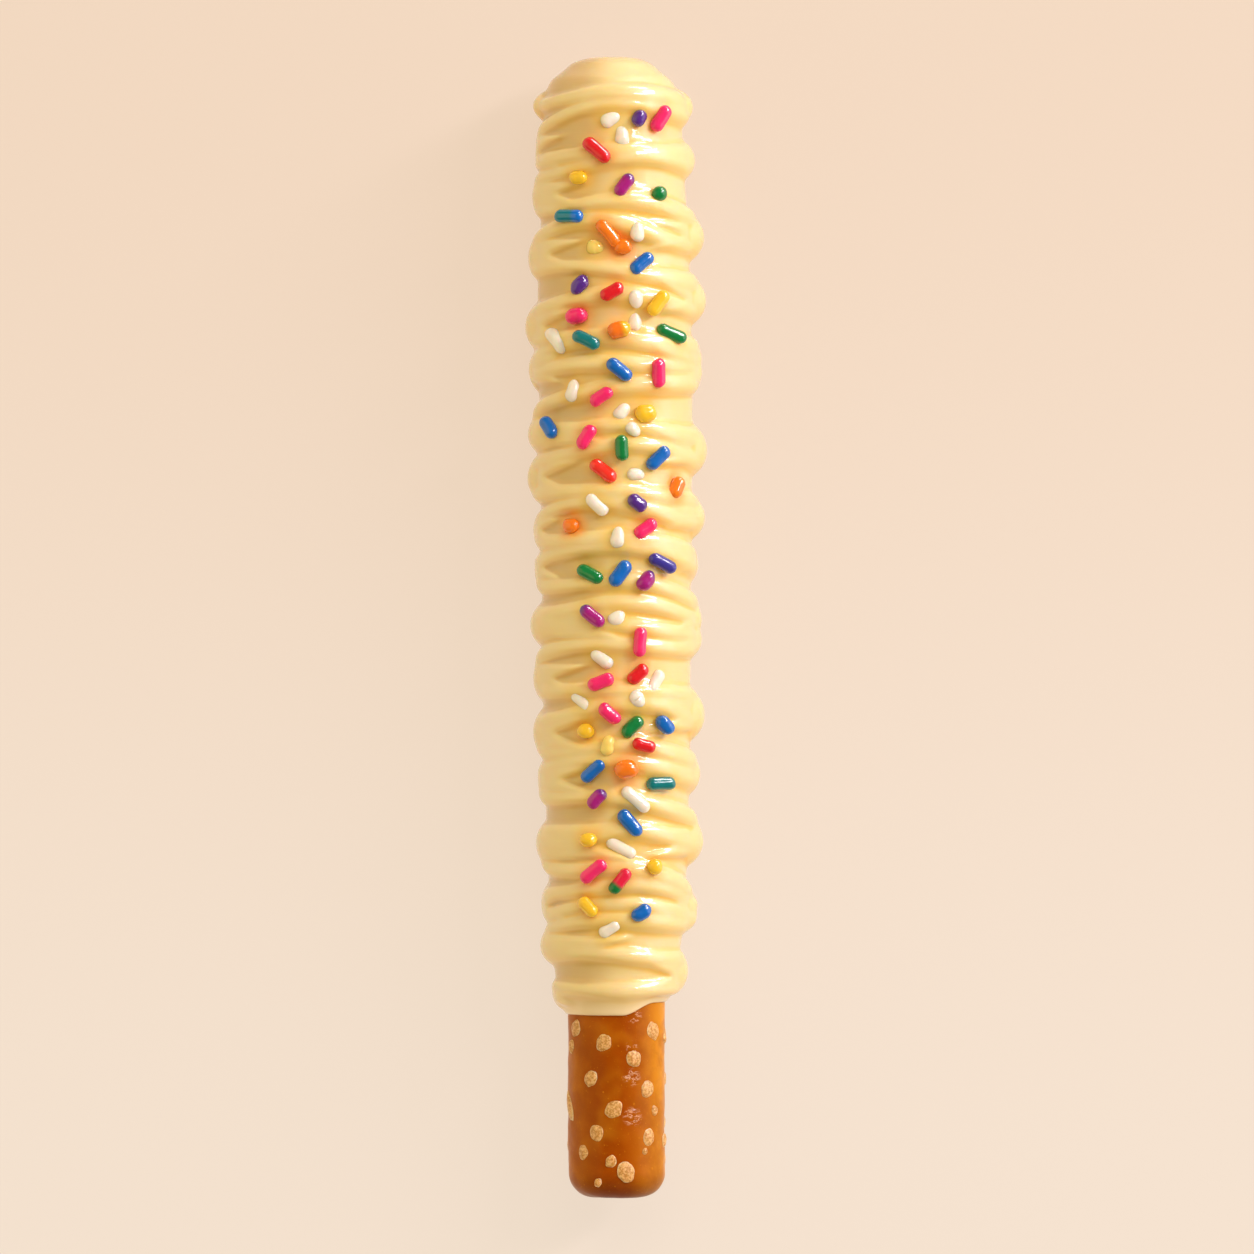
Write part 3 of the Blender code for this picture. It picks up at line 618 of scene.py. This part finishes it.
def soften(values, passes):
    """Blurs a grid that closes on itself sideways."""
    for _ in range(passes):
        values = (np.roll(values, 1, 1) + 2 * values + np.roll(values, -1, 1)) / 4
        inside = (values[:-2] + 2 * values[1:-1] + values[2:]) / 4
        values = np.concatenate([values[:1], inside, values[-1:]])
    return values


def unevenness(places, scale, seed):
    """Smooth noise between about -1 and 1 over the grid of places, in lumps of about that size."""
    shift = Vector([seed * step for step in NOISE_SHIFT])
    flat = places.reshape(-1, 3) / scale
    return np.array([noise.noise(Vector(point) + shift) for point in flat]).reshape(places.shape[:2])


def make_coat():
    """The coat with its drizzle: a fine skin outside, and a plain bore round the rod."""
    outer = [(0.0, TIP_Y)] + [(radius, y) for y, radius, _ in COAT_STATIONS] + [(LIP_RADIUS, LIP_Y)]
    bore = ROD_RADIUS + TOUCHING_GAP
    profile = even_profile(outer, SKIN_STEP, PROFILE_PASSES)
    lip = [((LIP_RADIUS + ROD_RADIUS) / 2, LIP_Y - LIP_BULGE), (ROD_RADIUS, LIP_Y - LIP_INNER_DROP)]
    inside = [(ROD_RADIUS, LIP_Y + LIP_HOLD), (bore, LIP_Y + 2 * LIP_HOLD), (bore, 0.0)]
    inside += [(bore, ROD_TOP_Y - ROD_END_ROUNDING)]
    top = ROD_TOP_Y + TOUCHING_GAP
    inside += [(ROD_RADIUS - ROD_END_ROUNDING + TOUCHING_GAP, top)]
    profile = np.concatenate([profile, lip, inside, [(0.0, top)]])
    places, outward, angle = turned_grid(profile, SKIN_COLUMNS)
    skin = len(profile) - len(lip) - len(inside) - 1
    height = np.zeros(places.shape[:2])
    height[:skin] = soften(drizzle_height(places[:skin], angle), FLOW_PASSES)
    height[:skin] += COAT_UNEVENNESS * unevenness(places[:skin], COAT_LUMP_SIZE, 1)
    height[:skin] *= np.clip(np.arange(skin)[::-1] / LIP_FADE_ROWS, 0, 1)[:, None]
    places = places + outward * height[..., None]
    x, y, z = (places[..., side] for side in range(3))
    at_lip = np.clip((LIP_Y + 2 * LIP_DEPTH - y) / (2 * LIP_DEPTH), 0, 1) ** 2
    rising = np.clip((np.sin(angle) - LIP_RISE_FROM) / (LIP_RISE_TO - LIP_RISE_FROM), 0, 1)
    wave = LIP_RISE * rising**2 * (3 - 2 * rising) - LIP_DROP
    at_skin = (np.arange(len(profile)) < skin + len(lip) + 2)[:, None]
    strayed = x + np.where(at_skin, coat_middle(y) * (1 - np.sqrt(at_lip)), 0.0)
    y = y + wave * np.where(at_skin, at_lip, 0.0)
    z = z + AXIS_HEIGHT
    z = np.where(at_skin, (z + np.sqrt(z**2 + BACK_ROUNDING**2)) / 2, z)
    places = np.stack([strayed, y, z], -1)
    places[:skin] = np.concatenate([places[:1], soften(places[:skin], 1)[1:-1], places[skin - 1:skin]])
    # Painted shade: hollows in the skin and the sides of strands that fall towards the lip are marked to
    # take a darker, warmer colour.
    hollow = np.zeros(height.shape)
    lifted = soften(places[:skin], HOLLOW_PASSES) - places[:skin]
    hollow[:skin] = np.clip((lifted * outward[:skin]).sum(-1) / HOLLOW_DEPTH, 0, 1)
    under = np.zeros(height.shape)
    fall = -np.gradient(height[:skin], axis=0) / SKIN_STEP
    under[:skin] = np.clip(soften(fall, 2) / UNDER_SLOPE, 0, 1)
    # Painted shade: the low gaps between strands, more so towards the left side that the key light misses,
    # are marked to turn tan.
    leftwards = np.clip(0.5 - SHADED_GAP_TO_LEFT * x / SHADED_GAP_SPREAD, 0, 1)
    thin = np.clip((1 - height / STRAND_HEIGHT) / SHADED_GAP_FULL_AT, 0, 1) * leftwards
    hollow *= 1 - SHADED_GAP_STAYS_TAN * thin
    mesh = grid_mesh("candy_coat", places)
    mark(mesh, "under", under)
    mark(mesh, "strand", np.clip(height / STRAND_HEIGHT, 0, 1))
    mark(mesh, "hollow", hollow)
    mark(mesh, "thin", thin)
    # Painted light: the candy near the lip is marked to turn paler.
    mark(mesh, "lip", np.clip((LIP_Y + LIP_LIT_REACH - y) / LIP_LIT_REACH, 0, 1))
    return mesh


def surface_of(mesh):
    """What a ray meets on a mesh."""
    shape = bmesh.new()
    shape.from_mesh(mesh)
    tree = BVHTree.FromBMesh(shape)
    shape.free()
    return tree


def seat(tree, x, y, turn):
    """Where a sprinkle dropped at (x, y) lands: its place in millimetres, and its three axes."""
    place, normal, _, _ = tree.ray_cast(Vector((x, y, DROP_HEIGHT)) * MM, Vector((0.0, 0.0, -1.0)))
    place = place / MM
    outward = Vector((x - float(coat_middle(y)), 0.0, place.z - AXIS_HEIGHT)).normalized()
    normal = outward.lerp(normal, SEAT_FOLLOWS_DRIZZLE).normalized()
    normal = normal.lerp(Vector((0.0, 0.0, 1.0)), SEAT_FACES_UP).normalized()
    along = Vector((math.cos(turn), math.sin(turn), 0.0))
    along = (along - normal * along.dot(normal)).normalized()
    return place, along, normal.cross(along), normal


def capsule_ring(share, straight, radius):
    """Where a ring of a capsule lies along it, and its radius, from one tip (0) to the other (1)."""
    if share > 0.5:
        along, ring = capsule_ring(1 - share, straight, radius)
        return -along, ring
    if share < SPRINKLE_CAP:
        turn = share / SPRINKLE_CAP * math.pi / 2
        return straight + radius * math.cos(turn), radius * math.sin(turn)
    return straight * (0.5 - share) / (0.5 - SPRINKLE_CAP), radius


def add_sprinkle(shape, along_mark, size, uneven, place, axes):
    """Adds one sprinkle to a mesh: a capsule with a slight waist and bend, or narrower at one end."""
    length, radius = size
    waist, bend, taper, lumps = uneven
    made = bmesh.ops.create_uvsphere(
        shape, u_segments=SPRINKLE_SEGMENTS, v_segments=SPRINKLE_SEGMENTS, radius=1.0
    )["verts"]
    straight = max(0.0, length / 2 - radius)
    turn = Matrix(axes).transposed()
    for vertex in made:
        share = math.acos(max(-1.0, min(1.0, vertex.co.z))) / math.pi
        x, ring = capsule_ring(share, straight, radius)
        side = Vector((0.0, 0.0))
        if ring > 0.001:
            side = Vector((vertex.co.x, vertex.co.y)).normalized() * ring
        part = 2 * x / length
        side *= (1 - waist * (1 - part**2)) * (1 - taper * (part + 1) / 2)
        local = Vector((x, side.x + bend * (1 - part**2), side.y))
        local *= 1 + lumps * noise.noise((local + place) / SPRINKLE_LUMP_SIZE)
        vertex[along_mark] = part
        vertex.co = (turn @ local + place) * MM


def make_sprinkles(coat):
    """One piece for each colour, every sprinkle part sunk in what it fell on."""
    tree = surface_of(coat)
    chance = random.Random(SEED + 5)
    seats = []
    for colour, places in SPRINKLES.items():
        shape = bmesh.new()
        along_mark = shape.verts.layers.float.new("along")
        for x, y, turn, length, *width in places:
            x, y = x * NEARER, y * NEARER
            bean = length <= BEAN_LENGTH
            radius = (BEAN_RADIUS if bean else SPRINKLE_RADIUS) * chance.uniform(*SPRINKLE_SIZES)
            waist, bend = chance.uniform(0, SPRINKLE_WAIST), chance.uniform(-SPRINKLE_BEND, SPRINKLE_BEND)
            rise, taper = SPRINKLE_RISE, 0.0
            if colour in SUNK_KINDS:
                radius *= WHITE_BEAN_FULLNESS if bean else WHITE_FULLNESS
                rise, taper = WHITE_RISE, WHITE_TAPER * bean
            if width:
                radius = width[0] / 2
            place, *axes = seat(tree, x, y, math.radians(turn))
            place += axes[2] * radius * rise
            lumps = SPRINKLE_LUMPS if bean or width else SPRINKLE_LUMPS / 3
            add_sprinkle(shape, along_mark, (length, radius), (waist, bend, taper, lumps), place, axes)
            seats.append((colour, place, axes[0], length, radius))
        mesh = finished_mesh(f"sprinkles_{colour}", shape)
        mesh.shade_smooth()
        piece = new_piece(f"sprinkles_{colour}", mesh, sprinkle_material(colour))
        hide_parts("chocolate_coating")
    return seats


def mark_glow(mesh, seats):
    """Marks on the coat how close each point lies to a sprinkle, for painted shade round it, and the colour
    of the painted glow that it picks up.
    """
    points = np.empty(len(mesh.vertices) * 3)
    mesh.vertices.foreach_get("co", points)
    points = points.reshape(-1, 3) / MM
    touch = np.zeros(len(points))
    weight = np.zeros(len(points))
    tint = np.zeros((len(points), 3))
    for colour, place, along, length, radius in seats:
        place, along = np.array(place), np.array(along)
        near = np.flatnonzero(np.abs(points - place).max(1) < length / 2 + GLOW_REACH * 2)
        apart = points[near] - place
        half = max(0.0, length / 2 - radius)
        share = np.clip(apart @ along, -half, half)
        gap = np.linalg.norm(apart - share[:, None] * along, axis=1) - radius
        close = np.exp(-((np.maximum(gap, 0.0) / GLOW_REACH) ** 2))
        touch[near] = np.maximum(touch[near], close)
        strength = close * SPRINKLE_GLOW.get(colour, 0.0)
        tint[near] += strength[:, None] * np.array(SPRINKLE_COLOURS[colour])
        weight[near] += strength
    tint /= np.maximum(weight, 1e-6)[:, None]
    tint = GLOW_WARMTH * np.array(GLOW_COLOUR) + (1 - GLOW_WARMTH) * tint
    mesh.attributes.new("touch", "FLOAT", "POINT").data.foreach_set("value", touch)
    glow = np.concatenate([tint, np.clip(weight, 0, 1)[:, None]], 1)
    mesh.attributes.new("glow", "FLOAT_COLOR", "POINT").data.foreach_set("color", glow.ravel())
    mesh.attributes.new("glow_weight", "FLOAT", "POINT").data.foreach_set("value", np.clip(weight, 0, 1))


def rounded_end(y, way):
    """(radius, y) points of the rod's end at y, from its middle out to its full radius."""
    for turn in np.linspace(0.0, math.pi / 2, ROD_END_POINTS):
        radius = ROD_RADIUS - ROD_END_ROUNDING * (1 - math.sin(turn))
        yield radius, y + way * ROD_END_ROUNDING * (1 - math.cos(turn))


def wet_patches(places):
    """How wet and blistered the crust is, over a grid of places round the stick's axis."""
    x, y, z = (places[..., side] for side in range(3))
    patches = WET_PATCH_CONTRAST * unevenness(places, WET_PATCH_SIZE, 5) - WET_PATCH_LEVEL
    wet = np.clip(patches, 0, 1) * (z < 0)
    for across, along, reach in BLISTERS:
        apart = ((x - across) ** 2 + (y - along) ** 2) / reach**2
        wet = np.maximum(wet, np.exp(-apart) * (z > 0))
    return wet


def make_rod():
    """The baked stick: a fine blistered skin where it is bare, and plain where the coat hides it."""
    hidden = [(0.0, ROD_TOP_Y), *rounded_end(ROD_TOP_Y, -1), (ROD_RADIUS, 0.0)]
    bare = [(0.0, BARE_END_Y), *rounded_end(BARE_END_Y, 1), (ROD_RADIUS, LIP_Y + CRUST_UNDER_COAT)]
    profile = np.concatenate([hidden, even_profile(bare, CRUST_STEP, CRUST_PASSES)[::-1]])
    places, outward, angle = turned_grid(profile, CRUST_COLUMNS)
    relief = CRUST_WAVES * unevenness(places, CRUST_WAVE_SIZE, 2)
    relief += CRUST_DENTS * unevenness(places, CRUST_DENT_SIZE, 3)
    wet = wet_patches(places)
    relief += BLISTER_HEIGHT * wet * unevenness(places * BLISTER_STRETCH, BLISTER_SIZE, 4)
    shown = np.clip(LIP_Y - CRUST_SHOWS_BELOW - places[..., 1], 0, 1)
    relief = relief * shown
    places = places + outward * relief[..., None] + np.array([0.0, 0.0, AXIS_HEIGHT])
    places[..., 1] = np.maximum(places[..., 1], BARE_END_Y)
    mesh = grid_mesh("pretzel_crust", places)
    mark(mesh, "relief", relief / CRUST_WAVES)
    mark(mesh, "wet", wet)
    # Painted light: the crust turns golden towards its sides, most on the right where the key light falls.
    across = np.sin(angle)
    golden = across**2 * np.where(across > 0, 1.0, CRUST_LIT_SIDE_LEFT)
    mark(mesh, "golden", np.broadcast_to(golden, relief.shape))
    # Painted shade: the bare end turns dark.
    browned = np.clip((CRUST_END_SHADE_FROM - places[..., 1]) / CRUST_END_SHADE_OVER, 0, 1)
    mark(mesh, "browned", browned)
    return mesh


def salt_places():
    """Where the grains of salt lie: an angle from the top, a Y, a size and how drawn out they are."""
    chance = random.Random(SEED)
    for x, y, size, *longer in FRONT_SALT:
        yield math.asin(x / ROD_RADIUS), y, size, longer[0] if longer else 1.0
    for row in range(BACK_SALT_ROWS):
        for number in range(BACK_SALT_IN_ROW):
            angle = BACK_SALT_FROM + BACK_SALT_STEP * (number + 0.5 * (row % 2))
            angle += chance.uniform(-BACK_SALT_STRAY_ANGLE, BACK_SALT_STRAY_ANGLE)
            y = BACK_SALT_FIRST_Y - BACK_SALT_PITCH * row
            y += chance.uniform(-BACK_SALT_STRAY, BACK_SALT_STRAY)
            yield angle, y, chance.uniform(*BACK_SALT_SIZES), 1.0


def make_salt():
    """The grains of salt as one piece, each an uneven lump baked into the crust."""
    chance = random.Random(SEED + 1)
    shape = bmesh.new()
    rim_mark = shape.verts.layers.float.new("rim")
    for angle, y, scale, longer in salt_places():
        made = bmesh.ops.create_icosphere(shape, subdivisions=SALT_SUBDIVISIONS, radius=1.0)["verts"]
        size = Vector((SALT_WIDTH * scale, SALT_LENGTH * scale * longer, SALT_HEIGHT)) / 2
        outward = Vector((math.sin(angle), 0.0, math.cos(angle)))
        spin = Matrix.Rotation(chance.uniform(-SALT_TURN, SALT_TURN), 3, outward)
        axes = (spin @ Vector((outward.z, 0.0, -outward.x)), spin @ Vector((0.0, 1.0, 0.0)), outward)
        place = outward * (ROD_RADIUS - SALT_SUNK) + Vector((0.0, y, AXIS_HEIGHT))
        turn = Matrix(axes).transposed()
        for vertex in made:
            lump = 1 + SALT_LUMPS * noise.noise(vertex.co * SALT_LUMP_PITCH + place)
            lump += SALT_GRIT * noise.noise(vertex.co * SALT_GRIT_PITCH + place)
            vertex[rim_mark] = 1 - max(0.0, vertex.co.z)
            local = Vector(a * b for a, b in zip(vertex.co * lump, size))
            vertex.co = (turn @ local + place) * MM
    mesh = finished_mesh("salt_grains", shape)
    mesh.shade_smooth()
    return mesh


def new_material(name):
    """A material with only a Principled shader, and functions to add nodes and join them."""
    material = bpy.data.materials.new(name)
    material.use_nodes = True
    tree = material.node_tree
    shader = tree.nodes["Principled BSDF"]

    def node(kind, settings=None, **inputs):
        made = tree.nodes.new(kind)
        for key, value in (settings or {}).items():
            setattr(made, key, value)
        for key, value in inputs.items():
            socket = made.inputs[key.replace("_", " ")]
            if isinstance(value, bpy.types.NodeSocket):
                tree.links.new(value, socket)
            else:
                socket.default_value = value
        return made

    return material, shader, node, tree.links.new


def marked(node, name):
    return node("ShaderNodeAttribute", {"attribute_name": name})


def mixed(node, share, first, second):
    """A colour between two others."""
    made = node("ShaderNodeMix", {"data_type": "RGBA"})
    tree = made.id_data
    for socket, value in ((made.inputs[0], share), (made.inputs[6], first), (made.inputs[7], second)):
        if isinstance(value, bpy.types.NodeSocket):
            tree.links.new(value, socket)
        else:
            socket.default_value = value if isinstance(value, float) else (*value, 1.0)
    return made.outputs[2]


def ramped(node, value, low, high):
    """A value spread out so that low becomes 0 and high becomes 1, with soft ends."""
    made = node("ShaderNodeMapRange", {"interpolation_type": "SMOOTHSTEP"})
    made.id_data.links.new(value, made.inputs["Value"])
    made.inputs["From Min"].default_value = low
    made.inputs["From Max"].default_value = high
    return made.outputs["Result"]


def scaled(node, value, factor):
    made = node("ShaderNodeMath", {"operation": "MULTIPLY"})
    made.id_data.links.new(value, made.inputs[0])
    if isinstance(factor, bpy.types.NodeSocket):
        made.id_data.links.new(factor, made.inputs[1])
    else:
        made.inputs[1].default_value = factor
    return made.outputs[0]


def cloud(node, scale, detail, rough=0.5, stretch=None):
    """Noise over the object's own coordinates, which are in metres, drawn out where stretch is under 1."""
    place = node("ShaderNodeTexCoord").outputs["Object"]
    if stretch:
        place = node("ShaderNodeMapping", Vector=place, Scale=stretch).outputs["Vector"]
    made = node("ShaderNodeTexNoise", Vector=place, Scale=scale, Detail=detail, Roughness=rough)
    return made.outputs["Fac"]


def bumped(node, link, shader, value, distance, strength=1.0, sockets=("Normal", "Coat Normal")):
    made = node("ShaderNodeBump", Height=value, Distance=distance, Strength=strength)
    for socket in sockets:
        link(made.outputs["Normal"], shader.inputs[socket])


def coat_material():
    """Set candy: pale on the strands, with painted shade: tan in the gaps at the left, warm yellow in
    creases, under strands and by sprinkles. Painted light makes it paler by the lip, and sprinkles cast a
    painted glow into it.
    """
    material, shader, node, link = new_material("candy_coat")
    thin = ramped(node, marked(node, "thin").outputs["Fac"], 0.45, 0.95)
    hollow = ramped(node, marked(node, "hollow").outputs["Fac"], 0.1, 0.8)
    touch = marked(node, "touch").outputs["Fac"]
    # Painted shade: tan in the low gaps on the left.
    colour = mixed(node, thin, COAT_COLOUR, COAT_GAP_SHADE_COLOUR)
    colour = mixed(node, scaled(node, cloud(node, 90.0, 2.0), 0.35), colour, COAT_PALE_COLOUR)
    lip = marked(node, "lip").outputs["Fac"]
    colour = mixed(node, scaled(node, lip, 0.9), colour, LIP_LIT_COLOUR)
    crease_shade = scaled(node, hollow, ramped(node, marked(node, "strand").outputs["Fac"], -0.4, 0.4))
    # Painted shade on the undersides of strands and in creases.
    under = marked(node, "under").outputs["Fac"]
    colour = mixed(node, scaled(node, under, 0.5), colour, COAT_CREASE_SHADE_COLOUR)
    colour = mixed(node, scaled(node, crease_shade, 0.75), colour, COAT_CREASE_SHADE_COLOUR)
    # Painted shade round the sprinkles, then their painted glow.
    colour = mixed(node, scaled(node, touch, 0.5), colour, COAT_CREASE_SHADE_COLOUR)
    glow = marked(node, "glow")
    colour = mixed(node, marked(node, "glow_weight").outputs["Fac"], colour, glow.outputs["Color"])
    link(colour, shader.inputs["Base Color"])
    link(scaled(node, ramped(node, lip, 0.8, 0.0), 0.6), shader.inputs["Subsurface Weight"])
    shader.inputs["Subsurface Radius"].default_value = (1.0, 0.55, 0.2)
    shader.inputs["Subsurface Scale"].default_value = 0.0014
    shader.inputs["Roughness"].default_value = 0.5
    shader.inputs["Specular IOR Level"].default_value = 0.7
    shader.inputs["Coat Weight"].default_value = 1.0
    shader.inputs["Coat Roughness"].default_value = 0.04
    pulled = cloud(node, PULLED_SCALE, 2.0, 0.5, PULLED_STRETCH)
    bumped(node, link, shader, pulled, 0.00007, 0.5)
    return material


def sprinkle_material(colour):
    """Hard sugar with a fine gloss. Some sprinkles turn to a second colour towards one end."""
    material, shader, node, link = new_material(f"sprinkle_{colour}")
    first = SPRINKLE_COLOURS[colour]
    second, start, end = SPRINKLE_SECOND.get(colour, (first, 0.0, 1.0))
    share = ramped(node, marked(node, "along").outputs["Fac"], start, end)
    body = mixed(node, share, first, second)
    deeper = [tuple(value * 0.7 for value in shade) for shade in (first, second)]
    speckle = scaled(node, cloud(node, 1500.0, 2.0), 0.3)
    body = mixed(node, speckle, body, mixed(node, share, *deeper))
    link(body, shader.inputs["Base Color"])
    shader.inputs["Subsurface Weight"].default_value = 0.6 if colour in SUNK_KINDS else 0.25
    shader.inputs["Subsurface Radius"].default_value = (1.0, 0.6, 0.4)
    shader.inputs["Subsurface Scale"].default_value = 0.0006
    shader.inputs["Roughness"].default_value = 0.25
    shader.inputs["Specular IOR Level"].default_value = 0.15
    shader.inputs["Coat Weight"].default_value = 0.9
    shader.inputs["Coat IOR"].default_value = 1.65
    shader.inputs["Coat Roughness"].default_value = 0.14
    bumped(node, link, shader, cloud(node, 2600.0, 2.0), 0.00003, 0.3)
    return material


def crust_material():
    """Baked crust: glossy brown, with painted light that turns it golden at its sides and painted shade at
    its end, and fine wet-looking blisters in patches with painted glints.
    """
    material, shader, node, link = new_material("baked_crust")
    patches = ramped(node, cloud(node, 190.0, 4.0, 0.6), 0.35, 0.65)
    # Painted light: golden towards the sides.
    colour = mixed(node, marked(node, "golden").outputs["Fac"], CRUST_COLOUR, CRUST_GOLDEN_COLOUR)
    colour = mixed(node, scaled(node, patches, 0.45), colour, CRUST_DARK_COLOUR)
    raised = ramped(node, marked(node, "relief").outputs["Fac"], 0.0, 1.0)
    colour = mixed(node, scaled(node, raised, 0.3), colour, CRUST_GOLDEN_COLOUR)
    # Painted shade at the bare end.
    browned = scaled(node, marked(node, "browned").outputs["Fac"], 0.7)
    colour = mixed(node, browned, colour, CRUST_END_SHADE_COLOUR)
    specks = ramped(node, cloud(node, 1800.0, 4.0, 0.7), 0.62, 0.72)
    colour = mixed(node, scaled(node, specks, 0.5), colour, CRUST_GOLDEN_COLOUR)
    wet = ramped(node, marked(node, "wet").outputs["Fac"], 0.25, 0.7)
    ripples = cloud(node, 1500.0, 3.0, 0.6, BLISTER_STRETCH)
    # Painted highlights: thin pale lines over the wet blisters.
    glint_lines = scaled(node, ramped(node, ripples, 0.5, 0.53), ramped(node, ripples, 0.58, 0.55))
    colour = mixed(node, scaled(node, scaled(node, glint_lines, wet), 0.5), colour, CRUST_GLINT_COLOUR)
    link(colour, shader.inputs["Base Color"])
    shader.inputs["Subsurface Weight"].default_value = 0.2
    shader.inputs["Subsurface Radius"].default_value = (1.0, 0.35, 0.1)
    shader.inputs["Subsurface Scale"].default_value = 0.0008
    shader.inputs["Roughness"].default_value = 0.3
    shader.inputs["Specular IOR Level"].default_value = 0.09
    link(scaled(node, ramped(node, ripples, 0.56, 0.62), wet), shader.inputs["Coat Weight"])
    shader.inputs["Coat Roughness"].default_value = 0.03
    bumped(node, link, shader, scaled(node, ripples, wet), 0.0004, 1.0, ("Coat Normal",))
    bumped(node, link, shader, cloud(node, 900.0, 3.0, 0.6), 0.00006, 0.6, ("Normal",))
    return material


def salt_material():
    """Coarse salt gone tan in the oven, rough and a little sparkly."""
    material, shader, node, link = new_material("baked_salt")
    grains = ramped(node, cloud(node, 2900.0, 3.0, 0.7), 0.4, 0.6)
    colour = mixed(node, grains, SALT_DARK_COLOUR, SALT_COLOUR)
    rim = ramped(node, marked(node, "rim").outputs["Fac"], 0.45, 0.8)
    colour = mixed(node, scaled(node, rim, 0.6), colour, SALT_RIM_COLOUR)
    link(colour, shader.inputs["Base Color"])
    shader.inputs["Subsurface Weight"].default_value = 0.4
    shader.inputs["Subsurface Radius"].default_value = (1.0, 0.6, 0.3)
    shader.inputs["Subsurface Scale"].default_value = 0.0006
    shader.inputs["Roughness"].default_value = 0.4
    bumped(node, link, shader, cloud(node, 3600.0, 3.0, 0.7), 0.0001, 1.0)
    return material


def floor_material():
    material, shader, node, link = new_material("pale_floor")
    colour = mixed(node, cloud(node, 900.0, 3.0), FLOOR_COLOUR, tuple(v * 0.97 for v in FLOOR_COLOUR))
    link(colour, shader.inputs["Base Color"])
    shader.inputs["Roughness"].default_value = 0.8
    shader.inputs["Specular IOR Level"].default_value = 0.1
    place = node("ShaderNodeSeparateXYZ", Vector=node("ShaderNodeTexCoord").outputs["Object"])
    far = ramped(node, place.outputs["Y"], -FLOOR_GLOW_SPREAD, FLOOR_GLOW_SPREAD)
    link(mixed(node, far, FLOOR_GLOW_COLOUR, FLOOR_FAR_GLOW_COLOUR), shader.inputs["Emission Color"])
    shader.inputs["Emission Strength"].default_value = FLOOR_GLOW
    return material


def make_floor():
    shape = bmesh.new()
    bmesh.ops.create_grid(shape, x_segments=1, y_segments=1, size=FLOOR_SIZE * MM / 2)
    mesh = finished_mesh("floor", shape)
    floor = bpy.data.objects.new("floor", mesh)
    bpy.context.scene.collection.objects.link(floor)
    mesh.materials.append(floor_material())


def add_light(name, direction, distance, size, power, colour):
    """An oblong soft light that far from the stick's middle, facing it."""
    data = bpy.data.lights.new(name, "AREA")
    data.shape = "RECTANGLE"
    data.size, data.size_y = size[0] * MM, size[1] * MM
    data.energy = power
    data.color = colour
    light = bpy.data.objects.new(name, data)
    away = Vector(direction).normalized()
    light.location = (away * distance + Vector((0.0, 0.0, AXIS_HEIGHT))) * MM
    light.rotation_euler = away.to_track_quat("Z", "Y").to_euler()
    light.visible_glossy = name not in NOT_REFLECTED
    light.visible_diffuse = name not in ONLY_REFLECTED
    bpy.context.scene.collection.objects.link(light)


def make_lights():
    for light in LIGHTS:
        add_light(*light)
    world = bpy.data.worlds.new("studio")
    bpy.context.scene.world = world
    world.use_nodes = True
    background = world.node_tree.nodes["Background"]
    background.inputs["Color"].default_value = (*WORLD_COLOUR, 1.0)
    background.inputs["Strength"].default_value = WORLD_STRENGTH


def make_camera():
    data = bpy.data.cameras.new("camera")
    data.lens = LENS
    data.sensor_width = SENSOR
    data.clip_start = 0.01
    camera = bpy.data.objects.new("camera", data)
    camera.location = Vector((PHOTO_MIDDLE_X, 0.0, AXIS_HEIGHT + CAMERA_DISTANCE)) * MM
    bpy.context.scene.collection.objects.link(camera)
    bpy.context.scene.camera = camera


def main():
    make_camera()
    make_lights()
    make_floor()
    bpy.context.scene.view_settings.view_transform = "Standard"

    coat = make_coat()
    piece = new_piece("candy_coat", coat, coat_material())
    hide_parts("chocolate_coating")
    mark_glow(coat, make_sprinkles(coat))

    crust = new_piece("pretzel_crust", make_rod(), crust_material())
    salt = new_piece("salt_grains", make_salt(), salt_material())
    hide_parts("pretzel_rod")
    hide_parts("pretzel_rod")


main()
